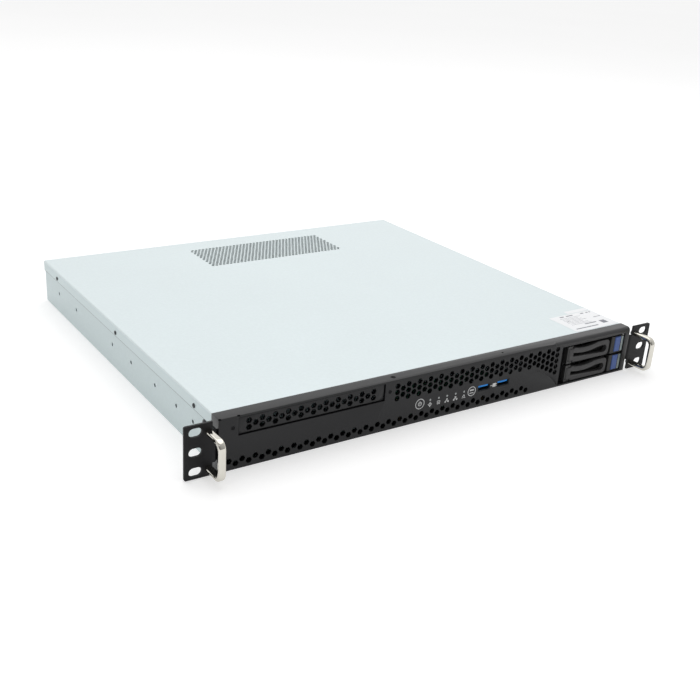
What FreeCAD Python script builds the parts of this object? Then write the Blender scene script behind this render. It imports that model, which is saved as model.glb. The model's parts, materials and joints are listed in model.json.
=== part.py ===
import FreeCAD, Part
import math
import os
import re
import Sketcher
from FreeCAD import Vector

# A short-depth 1U rack server, in millimetres.
# Seen from the front, +X is to the right, +Y to the rear and +Z up.
# The origin is in the middle of the chassis underside, so the front face stands at y = front.

SIZES = {
    # Whole chassis
    "body_width": 428.4,
    "body_height": 43.6,
    "front": -200,
    "rear": 200,
    "pan_sheet": 1.2,
    "cover_sheet": 1.0,
    "flange_drop": 10.2,
    "fold_radius": 1.0,
    "rail_hole_height": 21.2,
    "rail_hole_radius": 1.75,
    "cover_screw_height": 36.7,
    # Ventilation field of the lid: columns of narrow slots, in rows from front to back
    "vent_left": -62.3,
    "vent_front": 116.5,
    "vent_pitch": 4.2,
    "vent_columns": 38,
    "vent_slot_width": 2.6,
    "vent_slot_length": 17.6,
    "vent_row_pitch": 19.4,
    # Front panel
    "bezel_depth": 12,
    "bezel_wall": 1.5,
    "bezel_face": 2,
    "shoulder_radius": 3.5,
    "shoulder_start": 118,
    "crease_depth": 0.5,
    "crease_width": 1.1,
    "hex_column": 5.54,
    "hex_pitch": 5.54,
    "hex_across": 4.6,
    # Slim bay
    "slim_left": -198.2,
    "slim_right": -67.5,
    "slim_bottom": 27.2,
    "slim_top": 42,
    "slim_plate": 1.4,
    "slim_gap": 1.1,
    "slim_lip": 1.0,
    # Control panel
    "power_across": -31.1,
    "power_up": 16.7,
    "ident_across": 24.2,
    "ident_up": 16.8,
    "button_radius": 4.1,
    "button_gap": 0.3,
    "button_stem": 1.5,
    "lens_up": 18.2,
    "lens_radius": 0.9,
    "port_one": 37.6,
    "port_two": 59.3,
    "port_width": 13.2,
    "port_height": 5.4,
    "port_depth": 14,
    "port_wall": 0.4,
    "board_sheet": 1.6,
    "control_board_top": 15,
    # Drive bays
    "bay_left": 127.3,
    "bay_right": 208.6,
    "bay_bottom": 1.5,
    "bay_top": 38.5,
    "cage_left": 134.3,
    "cage_right": 209.6,
    "cage_front": 4,
    "cage_depth": 128,
    "cage_sheet": 1.0,
    "shelf_low": 18.7,
    "shelf_high": 19.9,
    "cage_top": 38.4,
    "tray_left": 135.7,
    "tray_width": 72.5,
    "tray_floor": 1.8,
    "tray_pitch": 18.4,
    "tray_height": 16.6,
    "tray_front": 1,
    "tray_bezel": 8,
    "tray_end": 114,
    "tray_wall": 1.2,
    "drive_width": 69.9,
    "drive_length": 100.2,
    "drive_height": 9.5,
    "recess_depth": 5.5,
    "ear_recess_left": 1.2,
    "ear_recess_right": 6.3,
    "lever_recess_right": 56.5,
    "pivot_across": 3.9,
    "pivot_back": 3.2,
    "pin_radius": 1.0,
    "lever_front": 0.8,
    "lever_back": 5.2,
    "latch_pocket_left": 61.2,
    "latch_pocket_right": 68.8,
    "latch_side_gap": 0.3,
    "light_pipe_left": 69.7,
    # Rack ears and handles
    "ear_reach": 241.3,
    "ear_root": 219,
    "ear_sheet": 2,
    "ear_bottom": 0.2,
    "neck_bottom": 10.4,
    "neck_top": 34.6,
    "neck_step": 2.3,
    "rack_middle": 21.8,
    "rack_pitch": 15.875,
    "rack_across": 232.55,
    "rack_slot_length": 10.5,
    "rack_slot_height": 7.1,
    "ear_flange_depth": 40,
    "handle_across": 222.2,
    "handle_width": 6,
    "handle_thick": 4,
    "handle_reach": 23,
    "handle_bottom": 4.8,
    "handle_top": 38.2,
    "handle_bend": 7,
    "handle_round": 1.4,
    # Fans
    "fan_side": 40,
    "fan_depth": 28,
    "fan_front": 108,
    "fan_pitch": 44,
    "fan_row": 30,
    "fan_middle": 21.2,
    "fan_bore": 19,
    "hub_radius": 10,
    "blade_tip": 17.6,
    # Mainboard
    "board_left": -104,
    "board_side": 244,
    "board_front": -46,
    "board_bottom": 7.6,
    "board_top": 9.2,
    "heatsink_front": 10,
    # Power supply
    "supply_left": -211,
    "supply_width": 100,
    "supply_front": 8,
    "supply_height": 40.2,
    "supply_fan_across": -136,
    "supply_fan_up": 21.3,
    "inlet_across": -184,
    "inlet_width": 27.6,
    "inlet_height": 20,
}

RAIL_HOLES = (45.3, 75.9, 117.8, 168.8, 212.4, 307.2, 357.8)
COVER_SCREWS = (41.5, 201, 359)
EAR_SCREW_BACK = 24
EAR_SCREWS = (13, 30.2)
LENSES = (-20.4, -11.4, -2.6, 6.6, 15.7)
BAYS = {"lower": 0, "upper": 1}
FAN_COUNT = 4
BLADES = 7

doc = FreeCAD.newDocument("rack_server")
sheet = doc.addObject("Spreadsheet::Sheet", "Sizes")
parts = []


# Sheet and formulas

def fill_sheet():
    for row, (alias, value) in enumerate(SIZES.items(), start=1):
        sheet.set(f"A{row}", alias)
        sheet.set(f"B{row}", str(value))
        sheet.setAlias(f"B{row}", alias)
    doc.recompute()


def formula(text):
    """An expression on the sheet's cells, from one that gives them by alias alone."""
    return re.sub(r"[a-z][a-z_]+", lambda word: "Sizes." + word.group(), str(text))


def size(alias):
    return float(sheet.get(alias))


def bind(item, **formulas):
    for name, text in formulas.items():
        item.setExpression(name.replace("__", "."), formula(text))
    return item


def place(item, corner):
    across, back, up = corner
    return bind(item, Placement__Base__x=across, Placement__Base__y=back, Placement__Base__z=up)


def keep(item):
    """Marks a finished sub-part, whose label names its file."""
    parts.append(item)
    return item


# Primitives and booleans

def block(name, corner, edges):
    across, back, up = edges
    item = doc.addObject("Part::Box", name)
    bind(item, Length=across, Width=back, Height=up)
    return place(item, corner)


def rod(name, foot, radius, length, along="z"):
    """A cylinder that runs from its foot along +X, +Y or +Z."""
    turns = {"x": (Vector(0, 1, 0), 90), "y": (Vector(1, 0, 0), -90), "z": (Vector(0, 0, 1), 0)}
    item = doc.addObject("Part::Cylinder", name)
    item.Placement = FreeCAD.Placement(Vector(), FreeCAD.Rotation(*turns[along]))
    bind(item, Radius=radius, Height=length)
    return place(item, foot)


def joined(name, items):
    item = doc.addObject("Part::MultiFuse", name)
    item.Shapes = items
    return item


def grouped(name, items):
    """Like pieces that stay separate solids in one node."""
    item = doc.addObject("Part::Compound", name)
    item.Links = items
    return item


def less(name, base, tools):
    item = doc.addObject("Part::Cut", name)
    item.Base = base
    item.Tool = tools[0] if len(tools) == 1 else grouped(name + "_tools", tools)
    return item


def screw(name, seat, along, side, head_radius, head_height, shank_radius, shank_length):
    """A pan-head screw: the head stands on seat, on the given side, and the shank runs the other way."""
    axis = "xyz".index(along)
    head = list(seat)
    shank = list(seat)
    head[axis] = seat[axis] if side > 0 else f"{seat[axis]} - {head_height}"
    shank[axis] = f"{seat[axis]} - {shank_length}" if side > 0 else seat[axis]
    return joined(name, [
        rod(name + "_head", head, head_radius, head_height, along),
        rod(name + "_shank", shank, shank_radius, shank_length, along),
    ])


# Sketches and features

def new_body(label):
    return keep(doc.addObject("PartDesign::Body", label))


def draw(body, plane, offset="0"):
    """A sketch on one of the body's own planes, offset along that plane's normal: -Y on XZ_Plane."""
    sketch = body.newObject("Sketcher::SketchObject", body.Label + "_sketch")
    support = next(item for item in body.Origin.OriginFeatures if item.Role == plane)
    sketch.AttachmentSupport = [(support, "")]
    sketch.MapMode = "FlatFace"
    return bind(sketch, AttachmentOffset__Base__z=offset)


def locate(sketch, curve, point, across, up):
    for kind, text in (("DistanceX", across), ("DistanceY", up)):
        number = sketch.addConstraint(Sketcher.Constraint(kind, -1, 1, curve, point, 1.0))
        sketch.setExpression(f"Constraints[{number}]", formula(text))


def outline(sketch, points):
    """A closed polygon, each corner held at its own pair of formulas."""
    first = sketch.GeometryCount
    count = len(points)
    guesses = [Vector(i, i * i, 0) for i in range(count)]
    sketch.addGeometry([Part.LineSegment(guesses[i], guesses[(i + 1) % count]) for i in range(count)], False)
    for i in range(count):
        sketch.addConstraint(Sketcher.Constraint("Coincident", first + i, 2, first + (i + 1) % count, 1))
    for i, (across, up) in enumerate(points):
        locate(sketch, first + i, 1, across, up)
    return sketch


def rectangle(sketch, left, right, bottom, top):
    return outline(sketch, [(left, bottom), (right, bottom), (right, top), (left, top)])


def circle(sketch, across, up, radius):
    number = sketch.addGeometry(Part.Circle(Vector(0, 0, 0), Vector(0, 0, 1), 1), False)
    locate(sketch, number, 3, across, up)
    rule = sketch.addConstraint(Sketcher.Constraint("Radius", number, 1.0))
    sketch.setExpression(f"Constraints[{rule}]", formula(radius))
    return sketch


def hexagon(sketch, across, up):
    """A hexagon with its flats at the top and bottom."""
    corner = "hex_across * 0.57735"
    points = []
    for turn in range(6):
        angle = math.radians(60 * turn)
        x = f"{across} + {corner} * {math.cos(angle):.6f}"
        y = f"{up} + {corner} * {math.sin(angle):.6f}"
        points.append((x, y))
    return outline(sketch, points)


def long_hole(sketch, across, up, length, height):
    """A slot with round ends, along the sketch's first axis."""
    radius = height / 2
    half = length / 2 - radius
    normal = Vector(0, 0, 1)
    for side, start in ((1, -0.5), (-1, 0.5)):
        bow = Part.Circle(Vector(across + side * half, up, 0), normal, radius)
        sketch.addGeometry(Part.ArcOfCircle(bow, start * math.pi, (start + 1) * math.pi), False)
        level = up + side * radius
        ends = (Vector(across - half, level, 0), Vector(across + half, level, 0))
        sketch.addGeometry(Part.LineSegment(*ends), False)
    return sketch


def path(sketch, start, steps):
    """A closed outline of straight steps (a point) and arcs (a middle point and an end point)."""
    here = Vector(*start, 0)
    for step in steps:
        end = Vector(*step[-1], 0)
        if len(step) == 2:
            sketch.addGeometry(Part.Arc(here, Vector(*step[0], 0), end), False)
        else:
            sketch.addGeometry(Part.LineSegment(here, end), False)
        here = end
    return sketch


def pad(body, sketch, length):
    feature = body.newObject("PartDesign::Pad", body.Label + "_pad")
    feature.Profile = sketch
    bind(feature, Length=length)
    doc.recompute()
    return feature


def pocket(body, sketch, depth, reverse=False):
    """A pocket against the sketch's normal, or along it when reversed. It has to take material away."""
    before = body.Shape.Volume
    feature = body.newObject("PartDesign::Pocket", body.Label + "_pocket")
    feature.Profile = sketch
    feature.Reversed = reverse
    bind(feature, Length=depth)
    doc.recompute()
    if feature.Shape.Volume > before - 1e-6:
        raise RuntimeError(body.Label + ": a pocket cuts nothing")
    return feature


def row_of(body, feature, sketch, length, count):
    pattern = body.newObject("PartDesign::LinearPattern", body.Label + "_row")
    pattern.Originals = [feature]
    pattern.Direction = (sketch, ["H_Axis"])
    pattern.Occurrences = count
    bind(pattern, Length=length)
    body.Tip = pattern
    doc.recompute()
    return pattern


def round_edges(body, base, radius, chosen):
    names = [f"Edge{i}" for i, edge in enumerate(base.Shape.Edges, start=1) if chosen(edge)]
    feature = body.newObject("PartDesign::Fillet", body.Label + "_fillet")
    feature.Base = (base, names)
    bind(feature, Radius=radius)
    doc.recompute()
    return feature


def runs_along(edge, axis):
    """True for a straight edge along X, Y or Z."""
    if not isinstance(edge.Curve, Part.Line):
        return False
    return abs(abs(getattr(edge.Curve.Direction, axis)) - 1) < 1e-6


# Chassis

def chassis_pan():
    """One folded sheet: floor, side walls and back wall, with the openings at the back."""
    body = new_body("chassis_pan")
    half = "(body_width / 2 - cover_sheet)"
    height = "body_height - cover_sheet"
    floor = rectangle(draw(body, "XY_Plane"), f"-{half}", half, "front + bezel_depth", "rear")
    block_out = pad(body, floor, height)
    bottom_folds = round_edges(
        body, block_out, "fold_radius",
        lambda edge: runs_along(edge, "y") and abs(edge.CenterOfMass.z) < 0.01,
    )
    assert bottom_folds.Shape.isValid()
    inside = draw(body, "XY_Plane", height)
    rectangle(inside, f"-{half} + pan_sheet", f"{half} - pan_sheet", "front", "rear - pan_sheet")
    pocket(body, inside, f"{height} - pan_sheet")
    back = draw(body, "XZ_Plane", "-rear")
    rectangle(back, "supply_left + 2", "supply_left + supply_width - 2", "pan_sheet + 2", "supply_height - 1")
    rectangle(back, "-100", "58", "4", "40")
    rectangle(back, "77", "193", "12", "28")
    for k in range(5):
        rectangle(back, f"{80 + 24 * k}", f"{96 + 24 * k}", "32", "36")
    pocket(body, back, "2 * pan_sheet", reverse=True)
    sides = draw(body, "YZ_Plane", "body_width / 2")
    for distance in RAIL_HOLES:
        circle(sides, f"front + {distance}", "rail_hole_height", "rail_hole_radius")
    for up in EAR_SCREWS:
        circle(sides, f"front + {EAR_SCREW_BACK}", up, 1.5)
    for distance in COVER_SCREWS:
        circle(sides, f"front + {distance}", "cover_screw_height", 1.5)
    pocket(body, sides, "body_width")


def top_cover():
    """Lid with two folded flanges outside the walls and a slotted field over the mainboard."""
    body = new_body("top_cover")
    profile = draw(body, "XZ_Plane", "-rear")
    half = "body_width / 2"
    skirt = "body_height - flange_drop"
    under = "body_height - cover_sheet"
    outline(profile, [
        (f"-{half}", skirt), (f"-{half}", "body_height"), (half, "body_height"), (half, skirt),
        (f"{half} - cover_sheet", skirt), (f"{half} - cover_sheet", under),
        (f"-{half} + cover_sheet", under), (f"-{half} + cover_sheet", skirt),
    ])
    sheet_metal = pad(body, profile, "rear - front - bezel_depth")
    top = size("body_height")
    reach = size("body_width") / 2
    round_edges(
        body, sheet_metal, "0.8 * fold_radius",
        lambda edge: runs_along(edge, "y")
        and abs(edge.CenterOfMass.z - top) < 0.01
        and abs(abs(edge.CenterOfMass.x) - reach) < 0.01,
    )
    slots = draw(body, "XY_Plane", "body_height")
    for row in range(3):
        low = f"vent_front + {row} * vent_row_pitch"
        rectangle(
            slots, "vent_left - vent_slot_width / 2", "vent_left + vent_slot_width / 2",
            low, f"{low} + vent_slot_length",
        )
    first = pocket(body, slots, "cover_sheet")
    row_of(body, first, slots, "(vent_columns - 1) * vent_pitch", int(size("vent_columns")))
    holes = draw(body, "YZ_Plane", "body_width / 2")
    for distance in COVER_SCREWS:
        circle(holes, f"front + {distance}", "cover_screw_height", 1.5)
    pocket(body, holes, "body_width")


def cover_screws():
    screws = []
    for distance in COVER_SCREWS:
        for side in (-1, 1):
            seat = (f"{side} * body_width / 2", f"front + {distance}", "cover_screw_height")
            screws.append(screw("cover_screw", seat, "x", side, 2.6, 0.7, 1.5, 2.4))
    keep(grouped("cover_screws", screws))


# Front panel

def hex_field_end():
    """Columns at the slanted end of the upper field, which grows by a hole at its foot."""
    heights = {0: 37.75, 1: 35.0}
    columns = []
    for number, count in enumerate((3, 3, 4, 4, 5)):
        top = heights[number % 2]
        columns += [(99.3 + number * size("hex_column"), top - k * size("hex_pitch")) for k in range(count)]
    return columns


def front_panel():
    """Moulded bezel: an open-backed box with hexagonal perforations, a shoulder and a crease."""
    body = new_body("front_panel")
    half = "body_width / 2"
    back_plane = "-(front + bezel_depth)"
    shell = rectangle(draw(body, "XZ_Plane", back_plane), f"-{half}", half, "0", "body_height")
    pad(body, shell, "bezel_depth")
    hollow = draw(body, "XZ_Plane", back_plane)
    inside = f"{half} - bezel_wall"
    rectangle(hollow, f"-({inside})", inside, "bezel_wall", "body_height - bezel_wall")
    pocket(body, hollow, "bezel_depth - bezel_face", reverse=True)
    shoulder(body)
    openings = draw(body, "XZ_Plane", "-front")
    rectangle(openings, "slim_left", "slim_right", "slim_bottom", "slim_top")
    rectangle(openings, "bay_left", "bay_right", "bay_bottom", "bay_top")
    for across in ("port_one", "port_two"):
        rectangle(
            openings, f"{across} - port_width / 2 - 0.2", f"{across} + port_width / 2 + 0.2",
            "control_board_top - 0.2", "control_board_top + port_height + 0.2",
        )
    circle(openings, "power_across", "power_up", "button_radius + button_gap")
    circle(openings, "ident_across", "ident_up", "button_radius + button_gap")
    for across in LENSES:
        circle(openings, across, "lens_up", "lens_radius")
    circle(openings, "slim_left - 4.6", "34.5", "1.7")
    circle(openings, "slim_right + 4.5", "34.3", "1.7")
    pocket(body, openings, "bezel_face + 1")
    necks = draw(body, "XZ_Plane", back_plane)
    for side in (-1, 1):
        rectangle(
            necks, f"{side} * ({half} + 1)", f"{side} * ({half} - bezel_wall - 0.1)",
            "neck_bottom - 0.3", "neck_top + 0.3",
        )
    pocket(body, necks, "bezel_depth - bezel_face", reverse=True)
    strip = draw(body, "XY_Plane", "body_height")
    circle(strip, "-56.7", "front + 5.6", "2.2")
    circle(strip, "60", "front + 6.1", "1")
    pocket(body, strip, "bezel_wall")
    crease(body)
    perforations(body)


def shoulder(body):
    """The rounded top edge over the drive bays."""
    radius = size("shoulder_radius")
    face = size("front")
    top = size("body_height")
    sketch = draw(body, "YZ_Plane", "shoulder_start")
    diagonal = radius * (1 - math.sqrt(0.5))
    path(sketch, (face, top - radius), [
        ((face + diagonal, top - diagonal), (face + radius, top)),
        ((face, top),),
        ((face, top - radius),),
    ])
    pocket(body, sketch, "body_width / 2 - shoulder_start", reverse=True)


def crease(body):
    """A shallow groove that falls from the end of the upper field to the foot of the drive bays."""
    width = size("crease_width")
    start, middle, end = (98.6, 22.4), (113.4, 14.9), (126, 3.3)
    sketch = draw(body, "XZ_Plane", "-front")
    path(sketch, start, [
        (middle, end),
        ((end[0], end[1] - 1.4 * width),),
        ((middle[0] - 0.5 * width, middle[1] - width), (start[0] - 0.4 * width, start[1] - width)),
        (start,),
    ])
    pocket(body, sketch, "crease_depth")


def perforations(body):
    """Two rows along the foot of the panel, the field of five-hole cells above, and its slanted end."""
    low = draw(body, "XZ_Plane", "-front")
    hexagon(low, "-205.8", "7.6")
    hexagon(low, "-205.8 + hex_column", "7.6 - hex_pitch / 2")
    row_of(body, pocket(body, low, "bezel_face"), low, "52 * hex_column", 27)
    field = draw(body, "XZ_Plane", "-front")
    for k in range(3):
        hexagon(field, "-55.3", f"37.8 - {k} * hex_pitch")
    for k in range(2):
        hexagon(field, "-55.3 + hex_column", f"35.05 - {k} * hex_pitch")
    row_of(body, pocket(body, field, "bezel_face"), field, "26 * hex_column", 14)
    slant = draw(body, "XZ_Plane", "-front")
    for across, up in hex_field_end():
        hexagon(slant, f"{across:.3f}", f"{up:.3f}")
    pocket(body, slant, "bezel_face")


def front_panel_screws():
    face = [
        rod("panel_screw", (across, "front + 0.2", up), 1.7, 3.4, "y")
        for across, up in (("slim_left - 4.6", "34.5"), ("slim_right + 4.5", "34.3"))
    ]
    strip = rod("strip_screw", ("-56.7", "front + 5.6", "body_height - 6.2"), 2.2, 6)
    keep(grouped("front_panel_screws", face + [strip]))


def slim_bay():
    """The perforated blank, whose lip bears on the back of the panel, and the shelf behind it."""
    body = new_body("slim_bay_blank")
    plate = draw(body, "XZ_Plane", "-(front + bezel_face)")
    rectangle(plate, "slim_left + 0.4", "slim_right - slim_gap", "slim_bottom + slim_gap", "slim_top - 0.4")
    pad(body, plate, "slim_plate")
    lip = draw(body, "XZ_Plane", "-(front + bezel_face + slim_lip)")
    rectangle(lip, "slim_left - 1.6", "slim_right + 1.6", "slim_bottom - 1", "body_height - bezel_wall")
    pad(body, lip, "slim_lip")
    holes = draw(body, "XZ_Plane", "-front")
    for across, up in (("0", 37.6), ("0", 32.06), ("hex_column", 34.85)):
        hexagon(holes, f"-189.3 + {across}", up)
    row_of(body, pocket(body, holes, "bezel_face + slim_lip"), holes, "18 * hex_column", 10)
    last = draw(body, "XZ_Plane", "-front")
    for up in (37.6, 32.06):
        hexagon(last, "-189.3 + 20 * hex_column", up)
    pocket(body, last, "bezel_face + slim_lip")
    shelf = new_body("slim_bay_shelf")
    section = draw(shelf, "XZ_Plane", "-(front + 140)")
    outline(section, [
        ("slim_left - 1", "pan_sheet"), ("slim_left", "pan_sheet"), ("slim_left", "slim_bottom - 2"),
        ("slim_right", "slim_bottom - 2"), ("slim_right", "pan_sheet"), ("slim_right + 1", "pan_sheet"),
        ("slim_right + 1", "slim_bottom - 1"), ("slim_left - 1", "slim_bottom - 1"),
    ])
    pad(shelf, section, "126")


# Rack ears and handles

def rack_ear(label, side):
    """A bent bracket: a slotted plate outside, a stepped neck and a flange inside the side wall."""
    body = new_body(label)
    inner = "(body_width / 2 - cover_sheet - pan_sheet)"
    plate = draw(body, "XZ_Plane", "-(front + ear_sheet)")
    outline(plate, [(f"{side} * {across}", up) for across, up in (
        ("(ear_root - 2)", "neck_bottom"), ("ear_root", "neck_bottom"), ("ear_root", "ear_bottom"),
        ("ear_reach", "ear_bottom"), ("ear_reach", "body_height"), ("ear_root", "body_height"),
        ("ear_root", "neck_top"), ("(ear_root - 2)", "neck_top"),
    )])
    flat = pad(body, plate, "ear_sheet")
    round_edges(
        body, flat, "1.5",
        lambda edge: runs_along(edge, "y") and abs(edge.CenterOfMass.x) > size("ear_reach") - 1,
    )
    neck = draw(body, "XY_Plane", "neck_bottom")
    outline(neck, [(f"{side} * {across}", back) for across, back in (
        ("ear_root", "front"), ("ear_root", "front + ear_sheet"),
        ("(ear_root - neck_step)", "front + ear_sheet + neck_step"), (inner, "front + ear_sheet + neck_step"),
        (inner, "front + ear_flange_depth"), (f"({inner} - ear_sheet)", "front + ear_flange_depth"),
        (f"({inner} - ear_sheet)", "front + neck_step"), ("(body_width / 2 + 0.3)", "front + neck_step"),
        ("(ear_root - 2)", "front"),
    )])
    pad(body, neck, "neck_top - neck_bottom")
    slots = draw(body, "XZ_Plane", "-front")
    for step in (-1, 0, 1):
        long_hole(
            slots, side * size("rack_across"), size("rack_middle") + step * size("rack_pitch"),
            size("rack_slot_length"), size("rack_slot_height"),
        )
    for up in ("handle_bottom + handle_thick / 2", "handle_top - handle_thick / 2"):
        circle(slots, f"{side} * handle_across", up, 1.5)
    pocket(body, slots, "ear_sheet + 0.1")
    holes = draw(body, "YZ_Plane", f"{side} * ({inner} - ear_sheet)")
    for up in EAR_SCREWS:
        circle(holes, f"front + {EAR_SCREW_BACK}", up, 1.5)
    pocket(body, holes, "ear_sheet", reverse=side > 0)


def handle(label, side):
    """A bent bar of rounded rectangular section that stands on the ear."""
    body = new_body(label)
    sketch = draw(body, "YZ_Plane", f"{side} * handle_across - handle_width / 2")
    tip = "front - handle_reach"
    outline(sketch, [
        ("front", "handle_top"), (tip, "handle_top"), (tip, "handle_bottom"), ("front", "handle_bottom"),
        ("front", "handle_bottom + handle_thick"), (f"{tip} + handle_thick", "handle_bottom + handle_thick"),
        (f"{tip} + handle_thick", "handle_top - handle_thick"), ("front", "handle_top - handle_thick"),
    ])
    bar = pad(body, sketch, "handle_width")
    outside = size("front") - size("handle_reach")
    inside = outside + size("handle_thick")
    bends = round_edges(
        body, bar, "handle_bend",
        lambda edge: runs_along(edge, "x") and abs(edge.CenterOfMass.y - outside) < 0.01,
    )
    bends = round_edges(
        body, bends, "handle_bend - handle_thick",
        lambda edge: runs_along(edge, "x") and abs(edge.CenterOfMass.y - inside) < 0.01,
    )
    foot = size("front")
    round_edges(
        body, bends, "handle_round",
        lambda edge: not runs_along(edge, "x") and abs(edge.CenterOfMass.y - foot) > 0.01,
    )


def ear_and_handle_screws():
    wall = []
    behind = []
    for side in (-1, 1):
        for up in EAR_SCREWS:
            seat = (f"{side} * (body_width / 2 - cover_sheet)", f"front + {EAR_SCREW_BACK}", up)
            wall.append(screw("ear_screw", seat, "x", side, 2.9, 1.3, 1.5, 3.2))
        for up in ("handle_bottom + handle_thick / 2", "handle_top - handle_thick / 2"):
            seat = (f"{side} * handle_across", "front + ear_sheet", up)
            behind.append(screw("handle_screw", seat, "y", 1, 2.8, 1.8, 1.5, 2))
    keep(grouped("ear_screws", wall))
    keep(grouped("handle_screws", behind))


# Control panel

def push_button(label, across, up):
    """A dished cap with a raised ring on a short stem, turned about its own axis."""
    body = new_body(label)
    profile = draw(body, "XY_Plane")
    outline(profile, [
        ("0", "front + 0.4"), ("button_radius * 0.45", "front + 0.4"), ("button_radius * 0.55", "front"),
        ("button_radius - 0.3", "front"), ("button_radius", "front + 0.3"), ("button_radius", "front + 2.6"),
        ("button_stem", "front + 2.6"), ("button_stem", "front + 6.6"), ("0", "front + 6.6"),
    ])
    turned = body.newObject("PartDesign::Revolution", label + "_turned")
    turned.Profile = profile
    turned.ReferenceAxis = (profile, ["V_Axis"])
    turned.Angle = 360
    bind(body, Placement__Base__x=across, Placement__Base__z=up)


def control_panel():
    board = block(
        "front_io_board", ("power_across - 8", "front + 5", "control_board_top - board_sheet"),
        ("port_two + port_width / 2 - power_across + 12", "30.5", "board_sheet"),
    )
    keep(board)
    switches = [
        block("switch", (f"{across} - 3", "front + 8", "control_board_top"), ("6", "3.5", "4"))
        for across in ("power_across", "ident_across")
    ]
    keep(grouped("button_switches", switches))
    lenses = [
        rod("lens", (across, "front", "lens_up"), "lens_radius", "bezel_face + 1", "y") for across in LENSES
    ]
    keep(grouped("status_lenses", lenses))
    shells = []
    tongues = []
    for across in ("port_one", "port_two"):
        left = f"{across} - port_width / 2"
        corner = (left, "front + 0.3", "control_board_top")
        outer = block("port_outer", corner, ("port_width", "port_depth", "port_height"))
        inner = block(
            "port_inner", (f"{left} + port_wall", "front", "control_board_top + port_wall"),
            ("port_width - 2 * port_wall", "port_depth - 1", "port_height - 2 * port_wall"),
        )
        shells.append(less("port_shell", outer, [inner]))
        tongues.append(block(
            "tongue", (f"{left} + 1", "front + 1.3", "control_board_top + port_height / 2 + 0.2"),
            ("port_width - 2", "port_depth - 2.3", "1.8"),
        ))
    keep(grouped("front_usb_shells", shells))
    keep(grouped("front_usb_tongues", tongues))


# Drive bays

def drive_cage():
    """Folded cage with a shelf between the bays, a filler beside them and the backplane behind."""
    body = new_body("drive_cage")
    section = draw(body, "XZ_Plane", "-(front + cage_depth)")
    left = "cage_left + cage_sheet"
    right = "cage_right - cage_sheet"
    outline(section, [
        ("cage_left", "pan_sheet"), ("cage_left", "cage_top"), ("cage_right", "cage_top"),
        ("cage_right", "pan_sheet"), (right, "pan_sheet"), (right, "shelf_low"),
        (left, "shelf_low"), (left, "pan_sheet"),
    ])
    rectangle(section, left, right, "shelf_high", "cage_top - cage_sheet")
    pad(body, section, "cage_depth - cage_front")
    filler = draw(body, "XZ_Plane", "-(front + cage_front + 2)")
    rectangle(filler, "bay_left - 1", "cage_left", "bezel_wall", "cage_top")
    pad(body, filler, "cage_sheet")
    step = draw(body, "XY_Plane", "pan_sheet")
    rectangle(step, "cage_left - 1", "cage_right + 1", "front", "front + bezel_depth")
    pocket(body, step, "bezel_wall - pan_sheet", reverse=True)
    board = block(
        "backplane_sheet", ("cage_left", "front + cage_depth", "pan_sheet"),
        ("cage_right - cage_left", "board_sheet", "cage_top - pan_sheet"),
    )
    windows = []
    plugs = []
    for level in BAYS.values():
        floor = f"tray_floor + {level} * tray_pitch"
        for shift in (8, 54):
            corner = (f"cage_left + {shift}", "front + cage_depth - 1", f"{floor} + 3")
            windows.append(block("airway", corner, ("13", "board_sheet + 2", "9")))
        corner = ("tray_left + tray_width / 2 - 20", "front + tray_end + 0.6", f"{floor} + 2")
        plugs.append(block("drive_plug", corner, ("34", "cage_depth - tray_end - 0.6", "5")))
    keep(less("drive_backplane", board, windows))
    keep(grouped("drive_connectors", plugs))


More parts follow.
